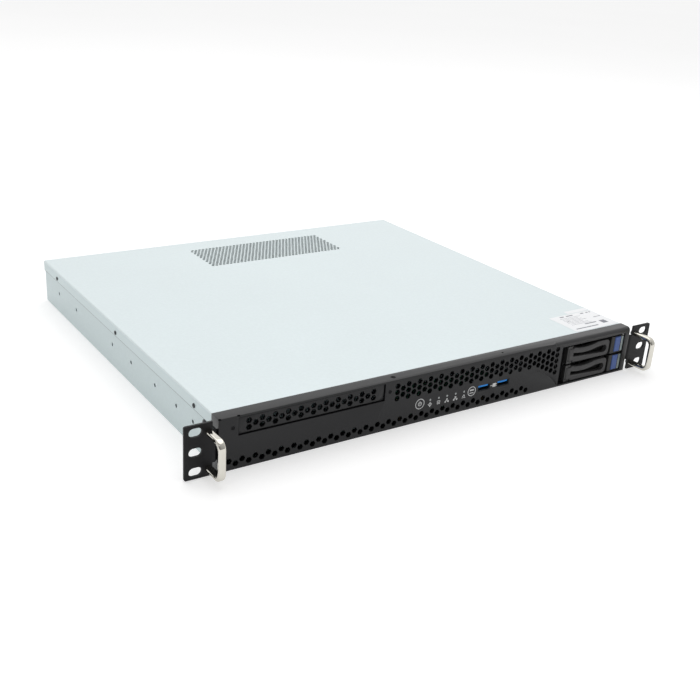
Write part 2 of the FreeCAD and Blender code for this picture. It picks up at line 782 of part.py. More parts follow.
def tray(name, level):
    """Carrier with a recessed front for the lever, a pocket for the latch and one for the light."""
    body = new_body(name + "_tray")
    floor = f"(tray_floor + {level} * tray_pitch)"
    right = "tray_left + tray_width"
    carrier = draw(body, "XZ_Plane", "-(front + tray_end)")
    outline(carrier, [
        ("tray_left + 0.1", f"{floor} + 0.6"), (f"{right} - 0.1", f"{floor} + 0.6"),
        (f"{right} - 0.1", f"{floor} + 11"), (f"{right} - 0.1 - tray_wall", f"{floor} + 11"),
        (f"{right} - 0.1 - tray_wall", f"{floor} + 1.6"), ("tray_left + 0.1 + tray_wall", f"{floor} + 1.6"),
        ("tray_left + 0.1 + tray_wall", f"{floor} + 11"), ("tray_left + 0.1", f"{floor} + 11"),
    ])
    pad(body, carrier, "tray_end - tray_front - tray_bezel")
    bezel = draw(body, "XZ_Plane", "-(front + tray_front + tray_bezel)")
    rectangle(bezel, "tray_left", right, floor, f"{floor} + tray_height")
    pad(body, bezel, "tray_bezel")
    recess = draw(body, "XZ_Plane", "-(front + tray_front)")
    outline(recess, [(f"tray_left + {across}", f"{floor} + {up}") for across, up in (
        ("ear_recess_left", "2.2"), ("ear_recess_right", "2.2"), ("ear_recess_right", "(-1)"),
        ("lever_recess_right", "(-1)"), ("lever_recess_right", "tray_height + 1"),
        ("ear_recess_right", "tray_height + 1"), ("ear_recess_right", "14.1"), ("ear_recess_left", "14.1"),
    )])
    pocket(body, recess, "recess_depth")
    pockets = draw(body, "XZ_Plane", "-(front + tray_front)")
    rectangle(
        pockets, "tray_left + latch_pocket_left", "tray_left + latch_pocket_right",
        f"{floor} + 0.9", f"{floor} + tray_height - 0.3",
    )
    pocket(body, pockets, "tray_bezel - 0.6")
    ways = draw(body, "XZ_Plane", "-(front + tray_front)")
    way_top = f"{floor} + tray_height - 1"
    rectangle(ways, "tray_left + light_pipe_left", f"{right} + 1", f"{floor} + 1", way_top)
    for shift in (12, 26, 40):
        rectangle(ways, f"tray_left + {shift}", f"tray_left + {shift} + 11", f"{floor} + 12", f"{floor} + 15")
    pocket(body, ways, "tray_bezel")
    top_face = draw(body, "XY_Plane", f"{floor} + tray_height")
    pin_hole = circle(top_face, "tray_left + pivot_across", "front + pivot_back", "pin_radius")
    pocket(body, pin_hole, "tray_height")
    pin_foot = ("tray_left + pivot_across", "front + pivot_back", floor)
    keep(rod(name + "_hinge_pin", pin_foot, "pin_radius", "tray_height"))
    pipe_corner = ("tray_left + light_pipe_left", "front + tray_front", f"{floor} + 1")
    pipe_edges = ("tray_width - light_pipe_left", "tray_bezel", "tray_height - 2")
    keep(block(name + "_light_pipe", pipe_corner, pipe_edges))


def drive(name, level):
    """A 2.5 inch drive with the notch that takes its plug."""
    body = new_body(name + "_drive")
    floor = f"(tray_floor + {level} * tray_pitch + 1.6)"
    left = "(tray_left + (tray_width - drive_width) / 2)"
    start = "(front + tray_front + tray_bezel + 4)"
    end = f"{start} + drive_length"
    plan = rectangle(draw(body, "XY_Plane", floor), left, f"{left} + drive_width", start, end)
    case = pad(body, plan, "drive_height")
    round_edges(body, case, "1.5", lambda edge: runs_along(edge, "z"))
    notch = draw(body, "XY_Plane", floor)
    rectangle(notch, f"{left} + 14", f"{left} + 50", f"{end} - 4", f"{end} + 1")
    pocket(body, notch, "6", reverse=True)


def lever(name, level):
    """A looped lever: scalloped along its top, open in the middle, and rounded about its pin."""
    body = new_body(name + "_lever")
    left = size("tray_left")
    floor = size("tray_floor") + level * size("tray_pitch")

    def at(across, up):
        return left + across, floor + up

    plate = draw(body, "XZ_Plane", "-(front + lever_back)")
    knuckle = size("ear_recess_left") + 0.3
    root = size("ear_recess_right") + 1.3
    path(plate, at(root, 0.9), [
        (at(49.9, 0.6),),
        (at(52.5, 1.6), at(53.6, 4)),
        (at(53.6, 12),),
        (at(52.5, 14.5), at(49.9, 15.6)),
        (at(38.2, 15.6),),
        (at(22.9, 13.3), at(root, 15)),
        (at(root, 13.8),),
        (at(knuckle, 13.8),),
        (at(knuckle, 2.5),),
        (at(root, 2.5),),
        (at(root, 0.9),),
    ])
    slab = pad(body, plate, "lever_back - lever_front")
    end = left + knuckle
    round_edges(
        body, slab, "(lever_back - lever_front) / 2 - 0.05",
        lambda edge: runs_along(edge, "z") and abs(edge.CenterOfMass.x - end) < 0.01,
    )
    window = draw(body, "XZ_Plane", "-(front + lever_front)")
    path(window, at(7.4, 6.1), [
        (at(46.6, 3.8),),
        (at(50.6, 7.4), at(46.6, 11.1)),
        (at(38.2, 10.7),),
        (at(22.9, 8.5), at(7.4, 10.1)),
        (at(7.4, 6.1),),
    ])
    pocket(body, window, "lever_back - lever_front")
    hole = circle(
        draw(body, "XY_Plane", f"tray_floor + {level} * tray_pitch + tray_height"),
        "tray_left + pivot_across", "front + pivot_back", "pin_radius + 0.05",
    )
    pocket(body, hole, "tray_height")


def latch(name, level):
    """The coloured catch at the lever's free end, with a finger dish across its face."""
    body = new_body(name + "_latch")
    floor = f"(tray_floor + {level} * tray_pitch)"
    face = draw(body, "XZ_Plane", "-(front + 6.2)")
    left = "tray_left + latch_pocket_left + latch_side_gap"
    right = "tray_left + latch_pocket_right - latch_side_gap"
    rectangle(face, left, right, f"{floor} + 1.2", f"{floor} + tray_height - 0.6")
    key = pad(body, face, "5.8")
    front_face = size("front") + 0.4
    round_edges(
        body, key, "0.8",
        lambda edge: abs(edge.CenterOfMass.y - front_face) < 0.01,
    )


# Fans

def fan_frame(label, across):
    """Square frame with a round duct, and the motor seat carried on struts at its back."""
    left = f"{across} - fan_side / 2"
    bottom = "fan_middle - fan_side / 2"
    case = block(label + "_case", (left, "front + fan_front", bottom), ("fan_side", "fan_depth", "fan_side"))
    duct = rod(label + "_duct", (across, "front + fan_front - 1", "fan_middle"), "fan_bore", "fan_depth + 2", "y")
    end = "front + fan_front + fan_depth"
    seat = rod(label + "_seat", (across, f"{end} - 3", "fan_middle"), "hub_radius - 1", 3, "y")
    level_corner = (f"{across} - fan_bore", f"{end} - 2", "fan_middle - 1")
    level_strut = block(label + "_strut", level_corner, ("2 * fan_bore", 2, 2))
    upright_corner = (f"{across} - 1", f"{end} - 2", "fan_middle - fan_bore")
    upright_strut = block(label + "_strut", upright_corner, (2, 2, "2 * fan_bore"))
    keep(joined(label, [less(label + "_ring", case, [duct]), seat, level_strut, upright_strut]))


def fan_rotor(label, across, start, up, length, blades=BLADES):
    """A hub with slanted blades, patterned about its own axis and then put in its duct."""
    body = new_body(label)
    hub = circle(draw(body, "XZ_Plane", f"-({length})"), "0", "0", "hub_radius")
    pad(body, hub, length)
    blade = draw(body, "XY_Plane", "hub_radius - 1.5")
    outline(blade, [
        ("-4.6", "1.5"), ("-3.2", "1.5"), ("1.2", f"({length}) * 0.55"), ("4.6", f"{length} - 1.5"),
        ("3.2", f"{length} - 1.5"), ("-0.4", f"({length}) * 0.6"),
    ])
    vane = pad(body, blade, "blade_tip - hub_radius + 1.5")
    ring = body.newObject("PartDesign::PolarPattern", label + "_ring")
    ring.Originals = [vane]
    ring.Axis = (next(item for item in body.Origin.OriginFeatures if item.Role == "Y_Axis"), [""])
    ring.Angle = 360
    ring.Occurrences = blades
    body.Tip = ring
    place(body, (across, start, up))
    return body


def fan_place(number):
    return f"fan_row + {number - (FAN_COUNT - 1) / 2} * fan_pitch"


def fans():
    for number in range(FAN_COUNT):
        across = fan_place(number)
        fan_frame(f"fan_frame_{number + 1}", across)
        fan_rotor(f"fan_rotor_{number + 1}", across, "front + fan_front + 2", "fan_middle", "fan_depth - 6")
    wide = f"({FAN_COUNT} * fan_pitch + 6)"
    left = f"fan_row - {wide} / 2"
    back = "front + fan_front + fan_depth"
    wall = block("bracket_wall", (left, back, "pan_sheet"), (wide, "1", "fan_side"))
    foot = block("bracket_foot", (left, f"{back} + 1", "pan_sheet"), (wide, "9", "1"))
    ducts = [
        rod("bracket_hole", (fan_place(number), f"{back} - 1", "fan_middle"), "fan_bore", "3", "y")
        for number in range(FAN_COUNT)
    ]
    keep(joined("fan_bracket", [less("bracket_plate", wall, ducts), foot]))


# Mainboard and what stands on it

def board_points():
    """Eight fixing points, three to a side; the processor stands in the middle."""
    steps = [(i, k) for i in range(3) for k in range(3) if (i, k) != (1, 1)]
    return [(f"board_left + {8 + 114 * i}", f"board_front + {8 + 114 * k}") for i, k in steps]


def mainboard():
    sheet_of_board = block(
        "board_sheet_metal", ("board_left", "board_front", "board_bottom"),
        ("board_side", "board_side", "board_top - board_bottom"),
    )
    holes = [rod("board_hole", (x, y, "board_bottom - 1"), 1.6, 4) for x, y in board_points()]
    keep(less("mainboard", sheet_of_board, holes))
    posts = [rod("standoff", (x, y, "pan_sheet"), 2.8, "board_bottom - pan_sheet") for x, y in board_points()]
    for across in ("power_across", "port_two"):
        foot = (across, "front + 28", "pan_sheet")
        posts.append(rod("tall_standoff", foot, 2.8, "control_board_top - board_sheet - pan_sheet"))
    keep(grouped("board_standoffs", posts))
    keep(grouped("board_screws", [
        screw("board_screw", (x, y, "board_top"), "z", 1, 2.8, 1.8, 1.6, "(board_top - board_bottom)")
        for x, y in board_points()
    ]))
    keep(block("processor", ("-3", "heatsink_front + 22", "board_top"), ("46", "46", "4")))
    keep(block("power_connector", ("60", "board_front + 4", "board_top"), ("52", "10", "12.8")))
    keep(grouped("memory_sockets", [
        block("memory_socket", (f"{90 + 10 * k}", "rear - 215", "board_top"), ("6.4", "142", "7"))
        for k in range(4)
    ]))
    keep(grouped("memory_modules", [
        block("memory_module", (f"{92.5 + 10 * k}", "rear - 210.7", "board_top + 7"), ("1.4", "133.4", "23.5"))
        for k in range(4)
    ]))


def processor_heatsink():
    """A base plate with a row of thin fins along the air's way."""
    body = new_body("processor_heatsink")
    base = draw(body, "XY_Plane", "board_top + 4")
    rectangle(base, "-25", "65", "heatsink_front", "heatsink_front + 90")
    pad(body, base, "4")
    fin = draw(body, "XY_Plane", "board_top + 8")
    rectangle(fin, "-25", "-24", "heatsink_front", "heatsink_front + 90")
    row_of(body, pad(body, fin, "22"), fin, "89", 19)


def rear_ports():
    shield = block("shield_plate", ("-100", "rear - pan_sheet", "4"), ("158", "1", "36"))
    cuts = []
    sockets = []
    for left in (-62, -42):
        outer = block("socket_outer", (left, "rear - 22", "board_top"), (16, 21.6, 13.4))
        inner = block("socket_inner", (f"{left} + 2.1", "rear - 13", "board_top + 2"), (11.8, 14, 8.6))
        sockets.append(less("network_socket", outer, [inner]))
        cuts.append(block("shield_cut", (left - 0.1, "rear - 3", "board_top"), (16.2, 4, 13.5)))
    keep(grouped("rear_network_ports", sockets))
    stack = block("stack_outer", (-90, "rear - 18", "board_top"), (14.4, 17.6, 15.4))
    ways = [
        block("stack_way", (-89.4, "rear - 14", f"board_top + {up}"), (13.2, 15, 3.2)) for up in (0.6, 4.2, 7.8, 11.4)
    ]
    keep(less("rear_usb_ports", stack, ways))
    cuts.append(block("shield_cut", (-90.1, "rear - 3", "board_top"), (14.6, 4, 15.5)))
    keep(less("io_shield", shield, cuts))
    keep(block("slot_cover", (75, "rear - pan_sheet - 1", 10), (120, 1, 20)))


# Power supply

def power_supply():
    """A closed case whose back wall holds the mains inlet and a punched guard over the fan's duct."""
    body = new_body("psu_housing")
    back = "rear - pan_sheet"
    plan = draw(body, "XY_Plane", "pan_sheet")
    rectangle(plan, "supply_left", "supply_left + supply_width", "supply_front", back)
    pad(body, plan, "supply_height")
    duct = draw(body, "XZ_Plane", f"-({back})")
    circle(duct, "supply_fan_across", "supply_fan_up", "fan_bore - 0.5")
    pocket(body, duct, "22", reverse=True)
    seat = draw(body, "XZ_Plane", f"-({back} - 19)")
    circle(seat, "supply_fan_across", "supply_fan_up", "hub_radius - 1")
    seat_pad = pad(body, seat, "3")
    assert seat_pad.Shape.isValid()
    cross = draw(body, "XZ_Plane", f"-({back})")
    x, z, wide, long = "supply_fan_across", "supply_fan_up", 0.8, "(fan_bore + 0.5)"
    outline(cross, [
        (f"{x} - {long}", f"{z} - {wide}"), (f"{x} - {wide}", f"{z} - {wide}"), (f"{x} - {wide}", f"{z} - {long}"),
        (f"{x} + {wide}", f"{z} - {long}"), (f"{x} + {wide}", f"{z} - {wide}"), (f"{x} + {long}", f"{z} - {wide}"),
        (f"{x} + {long}", f"{z} + {wide}"), (f"{x} + {wide}", f"{z} + {wide}"), (f"{x} + {wide}", f"{z} + {long}"),
        (f"{x} - {wide}", f"{z} + {long}"), (f"{x} - {wide}", f"{z} + {wide}"), (f"{x} - {long}", f"{z} + {wide}"),
    ])
    pad(body, cross, "1")
    for radius in (6.5, 12.5):
        ring = draw(body, "XZ_Plane", f"-({back})")
        circle(ring, x, z, radius)
        circle(ring, x, z, radius + 1.4)
        pad(body, ring, "1")
    seat_for_inlet = draw(body, "XZ_Plane", f"-({back})")
    rectangle(
        seat_for_inlet, "inlet_across - inlet_width / 2", "inlet_across + inlet_width / 2",
        "supply_fan_up - inlet_height / 2", "supply_fan_up + inlet_height / 2",
    )
    pocket(body, seat_for_inlet, "18", reverse=True)
    fan_rotor("psu_fan_rotor", "supply_fan_across", f"{back} - 17", "supply_fan_up", "13")
    mains_inlet(back)


def mains_inlet(back):
    """Three-blade mains inlet: a deep well with its two upper corners cut, and the blades standing in it."""
    body = new_body("psu_inlet")
    face = draw(body, "XZ_Plane", f"-({back})")
    rectangle(
        face, "inlet_across - inlet_width / 2", "inlet_across + inlet_width / 2",
        "supply_fan_up - inlet_height / 2", "supply_fan_up + inlet_height / 2",
    )
    pad(body, face, "18")
    well = draw(body, "XZ_Plane", f"-({back})")
    outline(well, [(f"inlet_across + {across}", f"supply_fan_up + {up}") for across, up in (
        (-12, -8), (12, -8), (12, 4), (8, 8), (-8, 8), (-12, 4),
    )])
    pocket(body, well, "16", reverse=True)
    blades = draw(body, "XZ_Plane", f"-({back} - 4)")
    for across, up in ((-7, -4), (0, 1), (7, -4)):
        rectangle(
            blades, f"inlet_across + {across} - 1", f"inlet_across + {across} + 1",
            f"supply_fan_up + {up} - 2", f"supply_fan_up + {up} + 2",
        )
    pad(body, blades, "13")


def build():
    fill_sheet()
    chassis_pan()
    top_cover()
    cover_screws()
    front_panel()
    front_panel_screws()
    slim_bay()
    rack_ear("left_ear", -1)
    rack_ear("right_ear", 1)
    handle("left_handle", -1)
    handle("right_handle", 1)
    ear_and_handle_screws()
    push_button("power_button", "power_across", "power_up")
    push_button("id_button", "ident_across", "ident_up")
    control_panel()
    drive_cage()
    for name, level in BAYS.items():
        tray(name, level)
        drive(name, level)
        lever(name, level)
        latch(name, level)
    fans()
    mainboard()
    processor_heatsink()
    rear_ports()
    power_supply()
    doc.recompute()


def export():
    for item in doc.Objects:
        if "Invalid" in item.State or "Error" in item.State:
            raise RuntimeError(f"{item.Label}: {item.State}")
    for item in parts:
        if item.Shape.isNull() or not item.Shape.isValid() or not item.Shape.Solids:
            raise RuntimeError(item.Label + ": bad shape")
    os.makedirs("parts", exist_ok=True)
    for item in parts:
        item.Shape.exportStep(f"parts/{item.Label}.step")
    print(len(parts), "sub-parts,", sum(len(item.Shape.Solids) for item in parts), "solids")


build()
export()
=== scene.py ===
import json
import math
from contextlib import contextmanager

import bmesh
import bpy
from bpy.props import FloatProperty, FloatVectorProperty, IntProperty, PointerProperty
from bpy.types import Operator, Panel, PropertyGroup
from mathutils import Matrix, Vector


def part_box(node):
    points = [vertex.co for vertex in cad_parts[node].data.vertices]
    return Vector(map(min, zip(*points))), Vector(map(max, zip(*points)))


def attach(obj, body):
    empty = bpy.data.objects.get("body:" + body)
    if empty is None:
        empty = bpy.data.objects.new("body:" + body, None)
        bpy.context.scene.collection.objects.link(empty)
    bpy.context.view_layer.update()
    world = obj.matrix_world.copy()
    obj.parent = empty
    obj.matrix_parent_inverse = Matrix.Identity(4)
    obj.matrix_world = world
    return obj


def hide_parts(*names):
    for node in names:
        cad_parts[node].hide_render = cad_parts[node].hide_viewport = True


bl_info = {
    "name": "Rack Server Dressing",
    "version": (1, 0, 0),
    "blender": (4, 5, 0),
    "location": "View3D > Sidebar > Rack Server",
    "description": "Gives a packed 1U rack server its vented lid, fittings, markings, finishes and studio",
    "category": "Object",
}

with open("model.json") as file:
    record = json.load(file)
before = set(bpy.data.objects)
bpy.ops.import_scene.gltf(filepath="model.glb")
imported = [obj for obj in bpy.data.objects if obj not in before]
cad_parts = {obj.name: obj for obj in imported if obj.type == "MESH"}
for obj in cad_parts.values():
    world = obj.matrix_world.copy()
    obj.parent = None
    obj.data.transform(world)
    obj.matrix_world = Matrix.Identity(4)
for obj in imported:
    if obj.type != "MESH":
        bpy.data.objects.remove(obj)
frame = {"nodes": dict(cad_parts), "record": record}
NODES = frame["nodes"]
BODY_OF = {
    node: body for body, nodes in frame["record"]["behaviour"]["bodies"].items() for node in nodes
}
SLOT_OF = {part["node"]: part["material_slot"] for part in frame["record"]["subparts"]}
MM = 0.001
UP = Vector((0, 0, 1))
WELD = 0.0005 * MM  # corners closer than this are one
CREASE = math.radians(35)  # edges sharper than this are seen as edges
SUNK = 0.02 * MM  # how deep prints reach into what carries them
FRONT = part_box("front_panel")[0].y
RIM, TOP = (corner.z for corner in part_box("top_cover"))


# ---------------------------------------------------------------- settings

def length(name, description, value):
    return FloatProperty(
        name=name, description=description, default=value, unit="LENGTH", subtype="DISTANCE",
    )


def tint(name, description, value):
    return FloatVectorProperty(
        name=name, description=description, default=value, min=0, max=1, size=3, subtype="COLOR",
    )


class LidSizes(PropertyGroup):
    sheet: length("Sheet", "Thickness of the lid's sheet", 1.0 * MM)
    fold: length("Fold", "Outer radius of the folded edges", 1.2 * MM)
    label_room: length("Label room", "How far the lid lies under the top, for its label", 0.1 * MM)
    vent_left: length("Vent left", "Middle of the leftmost column of round holes", -62.6 * MM)
    vent_front: length("Vent front", "Middle of the foremost row of round holes", 117.6 * MM)
    hole_radius: length("Hole radius", "Radius of each vent hole", 1.62 * MM)
    hole_pitch: length("Hole pitch", "Distance between holes of one row", 4.2 * MM)
    row_step: length("Row step", "Distance between neighbouring rows", 3.64 * MM)
    columns: IntProperty(name="Columns", description="Holes in each row", default=38, min=1)
    row_pairs: IntProperty(name="Row pairs", description="Pairs of staggered rows", default=8, min=1)
    screw_hole: length("Screw hole", "Radius of the holes that the lid's screws pass through", 1.7 * MM)


class LabelSizes(PropertyGroup):
    left: length("Left", "Left edge of the blank sticker", 158 * MM)
    front: length("Front", "Front edge of the blank sticker", -186.5 * MM)
    width: length("Width", "Width of the blank sticker", 54.5 * MM)
    depth: length("Depth", "Depth of the blank sticker", 37 * MM)
    strip_inset: length("Strip inset", "How far the strip starts from the sticker's left edge", 26 * MM)
    strip_gap: length("Strip gap", "Gap between the sticker and the strip behind it", 1 * MM)
    strip_width: length("Strip width", "Width of the blank strip", 28 * MM)
    strip_depth: length("Strip depth", "Depth of the blank strip", 6 * MM)
    corner: length("Corner", "Corner radius of the stickers", 1.2 * MM)
    paper: length("Paper", "Thickness of the stickers", 0.07 * MM)
    ink: length("Ink", "How far the printed fields stand out of the paper", 0.015 * MM)


class PanelSizes(PropertyGroup):
    edge: length("Edge", "Rounding of the moulded edges", 0.3 * MM)
    shortest: length("Shortest edge", "Edges shorter than this one stay sharp", 4 * MM)
    notch_width: length("Notch width", "Width of the relief notches in the top edge", 2.2 * MM)
    notch_drop: length("Notch drop", "How far the relief notches reach down", 0.9 * MM)
    notch_back: length("Notch back", "How far the relief notches reach back from the face", 1.3 * MM)
    # The rings are flat light-grey prints: painted light for the bright rim round each button.
    power_ring: length("Power ring", "Radius of the light ring round the power button", 4.65 * MM)
    ident_ring: length("Ident ring", "Radius of the light ring round the other button", 4.4175 * MM)
    ring_width: length("Ring width", "Width of the light rings", 0.6 * MM)
    print_height: length("Print height", "How far the printed signs stand out", 0.06 * MM)
    sign_level: length("Sign level", "Height of the middle of the printed signs", 14.1 * MM)
    sign_size: length("Sign size", "Width and height of a printed sign", 4.3 * MM)


class HandleSizes(PropertyGroup):
    thick: length("Thickness", "Thickness of the bar in the plane of its bends", 4 * MM)
    inner: length("Inner radius", "Radius of the bends along the bar's middle line", 5 * MM)
    corner: length("Corner", "Rounding of the bar's section", 1.6 * MM)


class SheetColours(PropertyGroup):
    lid: tint("Lid", "Galvanised lid", (0.700, 0.775, 0.788))
    # Painted shade: the chassis is the same galvanised sheet as the lid, given a darker tone for its
    # shaded side walls.
    pan: tint("Pan", "Galvanised chassis", (0.560, 0.643, 0.652))
    moulding: tint("Moulding", "Front panel", (0.0105, 0.0105, 0.0118))
    coat: tint("Coat", "Powder coat of the ears and the cage", (0.0085, 0.0085, 0.0095))
    lever: tint("Lever", "Levers of the drive trays", (0.050, 0.049, 0.050))
    key: tint("Key", "Latches of the drive trays", (0.070, 0.120, 0.32))
    usb: tint("USB", "Tongues of the fast ports", (0.010, 0.26, 0.78))


class StudioSettings(PropertyGroup):
    eye: FloatVectorProperty(
        name="Eye", description="Place of the camera", default=(-0.4955, -0.75692, 0.36371),
        subtype="XYZ", unit="LENGTH",
    )
    turn: FloatVectorProperty(
        name="Turn", description="Rotation of the camera", subtype="EULER", unit="ROTATION",
        default=(math.radians(67.117), math.radians(-3.116), math.radians(-32.43)),
    )
    lens: FloatProperty(name="Lens", description="Focal length in millimetres", default=50.18)
    shift: FloatProperty(name="Shift", description="Sideways shift of the lens", default=0.0298)
    sky: FloatProperty(name="Sky", description="Strength of the white sky", default=0.68, min=0)
    slope: FloatProperty(name="Slope", description="How much brighter its far side is", default=0.48)
    overhead: FloatProperty(name="Overhead", description="Watts of the light above", default=18, min=0)
    side: FloatProperty(name="Side", description="Watts of the light on the left", default=1, min=0)


# ---------------------------------------------------------------- shader maths

class Value:
    """A socket that takes part in arithmetic: each step adds a Math node."""

    def __init__(self, graph, socket):
        self.graph = graph
        self.socket = socket

    def step(self, operation, first, second):
        return self.graph.node("Math", {"operation": operation}, {0: first, 1: second})

    def __add__(self, other):
        return self.step("ADD", self, other)

    def __radd__(self, other):
        return self.step("ADD", other, self)

    def __mul__(self, other):
        return self.step("MULTIPLY", self, other)

    def __rmul__(self, other):
        return self.step("MULTIPLY", other, self)

    def __gt__(self, limit):
        return self.step("GREATER_THAN", self, limit)


class Graph:
    """The node tree of a material or of the surroundings."""

    def __init__(self, owner):
        owner.use_nodes = True
        self.tree = owner.node_tree

    def node(self, kind, settings=None, inputs=None, output=0):
        made = self.tree.nodes.new("ShaderNode" + kind)
        for name, value in (settings or {}).items():
            setattr(made, name, value)
        for name, value in (inputs or {}).items():
            self.feed(made.inputs[name], value)
        return Value(self, made.outputs[output])

    def feed(self, socket, value):
        if isinstance(value, Value):
            self.tree.links.new(value.socket, socket)
        else:
            socket.default_value = value


class Finish(Graph):
    """A material with a Principled shader, and patterns in the object's own coordinates."""

    def __init__(self, name):
        self.material = bpy.data.materials.new(name)
        super().__init__(self.material)
        self.shader = self.tree.nodes["Principled BSDF"]
        self.place = self.node("TexCoord", output="Object")

    def noise(self, size, detail=2.0, stretch=(1, 1, 1)):
        """Noise about 0.5 in lumps as large as size, longer along an axis with a small stretch."""
        where = self.node("Mapping", None, {"Vector": self.place, "Scale": stretch})
        return self.node("TexNoise", None, {"Vector": where, "Scale": 1 / size, "Detail": detail})

    def cells(self, size):
        """Cells about as large as size."""
        return self.node("TexVoronoi", None, {"Vector": self.place, "Scale": 1 / size})

    def between(self, mask, first, second):
        """A colour that goes from the first to the second with the mask."""
        stops = {
            number: colour if isinstance(colour, Value) else (*colour, 1)
            for number, colour in ((6, first), (7, second))
        }
        return self.node("Mix", {"data_type": "RGBA"}, {0: mask, **stops}, output=2)

    def relief(self, height, depth, strength):
        """Bends the shading by a height that spans the given depth."""
        bump = self.node("Bump", None, {"Height": height, "Distance": depth, "Strength": strength})
        self.feed(self.shader.inputs["Normal"], bump)

    def surface(self, **sockets):
        """Feeds the shader's sockets, named with underscores for spaces."""
        for name, value in sockets.items():
            if isinstance(value, tuple):
                value = (*value, 1)
            self.feed(self.shader.inputs[name.replace("_", " ")], value)
        return self.material


def shade(colour, factor):
    """The colour made darker or lighter."""
    return tuple(min(1.0, channel * factor) for channel in colour)


def galvanised(name, colour, shaded_flank=None):
    """Zinc-coated sheet: faint spangle, cloudy patches and a rolling grain.

    With a colour for its flanks, they get painted shade: darker than the top, with a painted shadow line
    along their lower rim.
    """
    finish = Finish(name)
    spangle = finish.cells(2.6 * MM)
    cloud = finish.noise(60 * MM)
    rolling = finish.noise(0.9 * MM, 3, (1, 0.06, 1))
    finish.relief(spangle * 0.5 + rolling, 0.012 * MM, 0.5)
    tone = finish.between(spangle * 0.5 + cloud * 0.5, shade(colour, 0.955), shade(colour, 1.035))
    if shaded_flank:
        folded, rim_shadow_top = TOP - 1.3 * MM, RIM + 0.45 * MM
        height = finish.node("SeparateXYZ", None, {0: finish.place}, output=2)
        # Painted shade: below the fold the flanks take a darker colour than the top.
        tone = finish.between(height > folded, shaded_flank, tone)
        # Painted shadow: a dark line along the flanges' lower rim.
        tone = finish.between(height > rim_shadow_top, shade(shaded_flank, 0.45), tone)
    return finish.surface(
        Base_Color=tone,
        Roughness=0.34 + 0.10 * cloud + 0.08 * rolling,
        Metallic=0.35,
    )


def moulded(name, colour, grain=0.35 * MM, roughness=0.30, gloss=0.28):
    """Spark-textured moulding: fine grain in the surface and a slight unevenness of its gloss."""
    finish = Finish(name)
    finish.shader.inputs["Specular IOR Level"].default_value = gloss
    texture = finish.noise(grain, 4)
    patches = finish.noise(22 * MM)
    finish.relief(texture, 0.05 * MM, 0.55)
    return finish.surface(
        Base_Color=finish.between(
            texture * 0.6 + patches * 0.4, shade(colour, 0.85), shade(colour, 1.18),
        ),
        Roughness=roughness - 0.05 + 0.10 * patches + 0.06 * texture,
    )


def powder_coated(name, colour):
    """Baked powder coat: orange peel with tiny brighter specks."""
    finish = Finish(name)
    finish.shader.inputs["Specular IOR Level"].default_value = 0.22
    peel = finish.noise(1.1 * MM, 3)
    specks = finish.noise(0.25 * MM, 1) > 0.68
    finish.relief(peel, 0.06 * MM, 0.5)
    return finish.surface(
        Base_Color=finish.between(specks, colour, shade(colour, 1.7)),
        Roughness=0.40 + 0.16 * peel,
    )


def chromed(name):
    """Bright plating over a drawn bar, with faint drawing lines and fingerprints."""
    finish = Finish(name)
    drawn = finish.noise(0.5 * MM, 2, (1, 0.04, 0.04))
    smudge = finish.noise(7 * MM, 4)
    finish.relief(drawn, 0.004 * MM, 0.4)
    return finish.surface(
        Base_Color=finish.between(smudge, (0.60, 0.58, 0.52), (0.70, 0.68, 0.62)),
        Roughness=0.04 + 0.08 * smudge,
        Metallic=1.0,
    )


def machined(name, colour, roughness=0.3, along=(1, 1, 0.05)):
    """Plain or blackened metal with fine lines left by its making."""
    finish = Finish(name)
    lines = finish.noise(0.35 * MM, 3, along)
    tarnish = finish.noise(9 * MM, 3)
    finish.relief(lines, 0.01 * MM, 0.4)
    return finish.surface(
        Base_Color=finish.between(tarnish, shade(colour, 0.88), shade(colour, 1.1)),
        Roughness=roughness + 0.14 * lines,
        Metallic=0.9,
    )


def solder_masked(name):
    """Green board with a lighter net of tracks and its small pads."""
    finish = Finish(name)
    net = finish.node("TexBrick", {"offset": 0.37}, {
        "Vector": finish.place, "Scale": 1 / (9 * MM), "Mortar Size": 0.03, "Color1": (0, 0, 0, 1),
        "Color2": (0.3, 0.3, 0.3, 1), "Mortar": (1, 1, 1, 1),
    }, output="Fac")
    patches = finish.noise(16 * MM)
    finish.relief(net, 0.03 * MM, 0.5)
    green, light_green = (0.010, 0.085, 0.040), (0.035, 0.22, 0.11)
    return finish.surface(
        Base_Color=finish.between(net * 0.6 + patches * 0.4, green, light_green),
        Roughness=0.30 + 0.15 * patches,
    )


def diffusing(name, colour):
    """Milky clear plastic with a slight haze."""
    finish = Finish(name)
    haze = finish.noise(3 * MM, 2)
    finish.shader.inputs["Coat Weight"].default_value = 0.5
    return finish.surface(
        Base_Color=finish.between(haze, shade(colour, 0.9), shade(colour, 1.1)),
        Roughness=0.22 + 0.12 * haze,
    )


def printed(name, colour):
    """Screen-printed ink, a little uneven in its cover."""
    finish = Finish(name)
    cover = finish.noise(0.6 * MM, 3)
    return finish.surface(
        Base_Color=finish.between(cover, shade(colour, 0.82), shade(colour, 1.1)),
        Roughness=0.55 + 0.1 * cover,
    )


def papered(name):
    """Coated label paper with soft fibres."""
    finish = Finish(name)
    fibres = finish.noise(0.8 * MM, 4, (1, 0.3, 1))
    finish.relief(fibres, 0.01 * MM, 0.5)
    return finish.surface(
        Base_Color=finish.between(fibres, (0.84, 0.85, 0.87), (0.93, 0.94, 0.95)),
        Roughness=0.38 + 0.1 * fibres,
    )


def floor_finish(name):
    """Matt white that glows a little, so that the floor stays pale far away from the lights."""
    finish = Finish(name)
    mottle = finish.noise(0.6, 2)
    finish.shader.inputs["Specular IOR Level"].default_value = 0
    finish.shader.inputs["Emission Color"].default_value = (1, 1, 1, 1)
    finish.shader.inputs["Emission Strength"].default_value = 0.45
    return finish.surface(
        Base_Color=finish.between(mottle, (0.68, 0.68, 0.68), (0.71, 0.71, 0.71)),
        Roughness=0.9,
    )


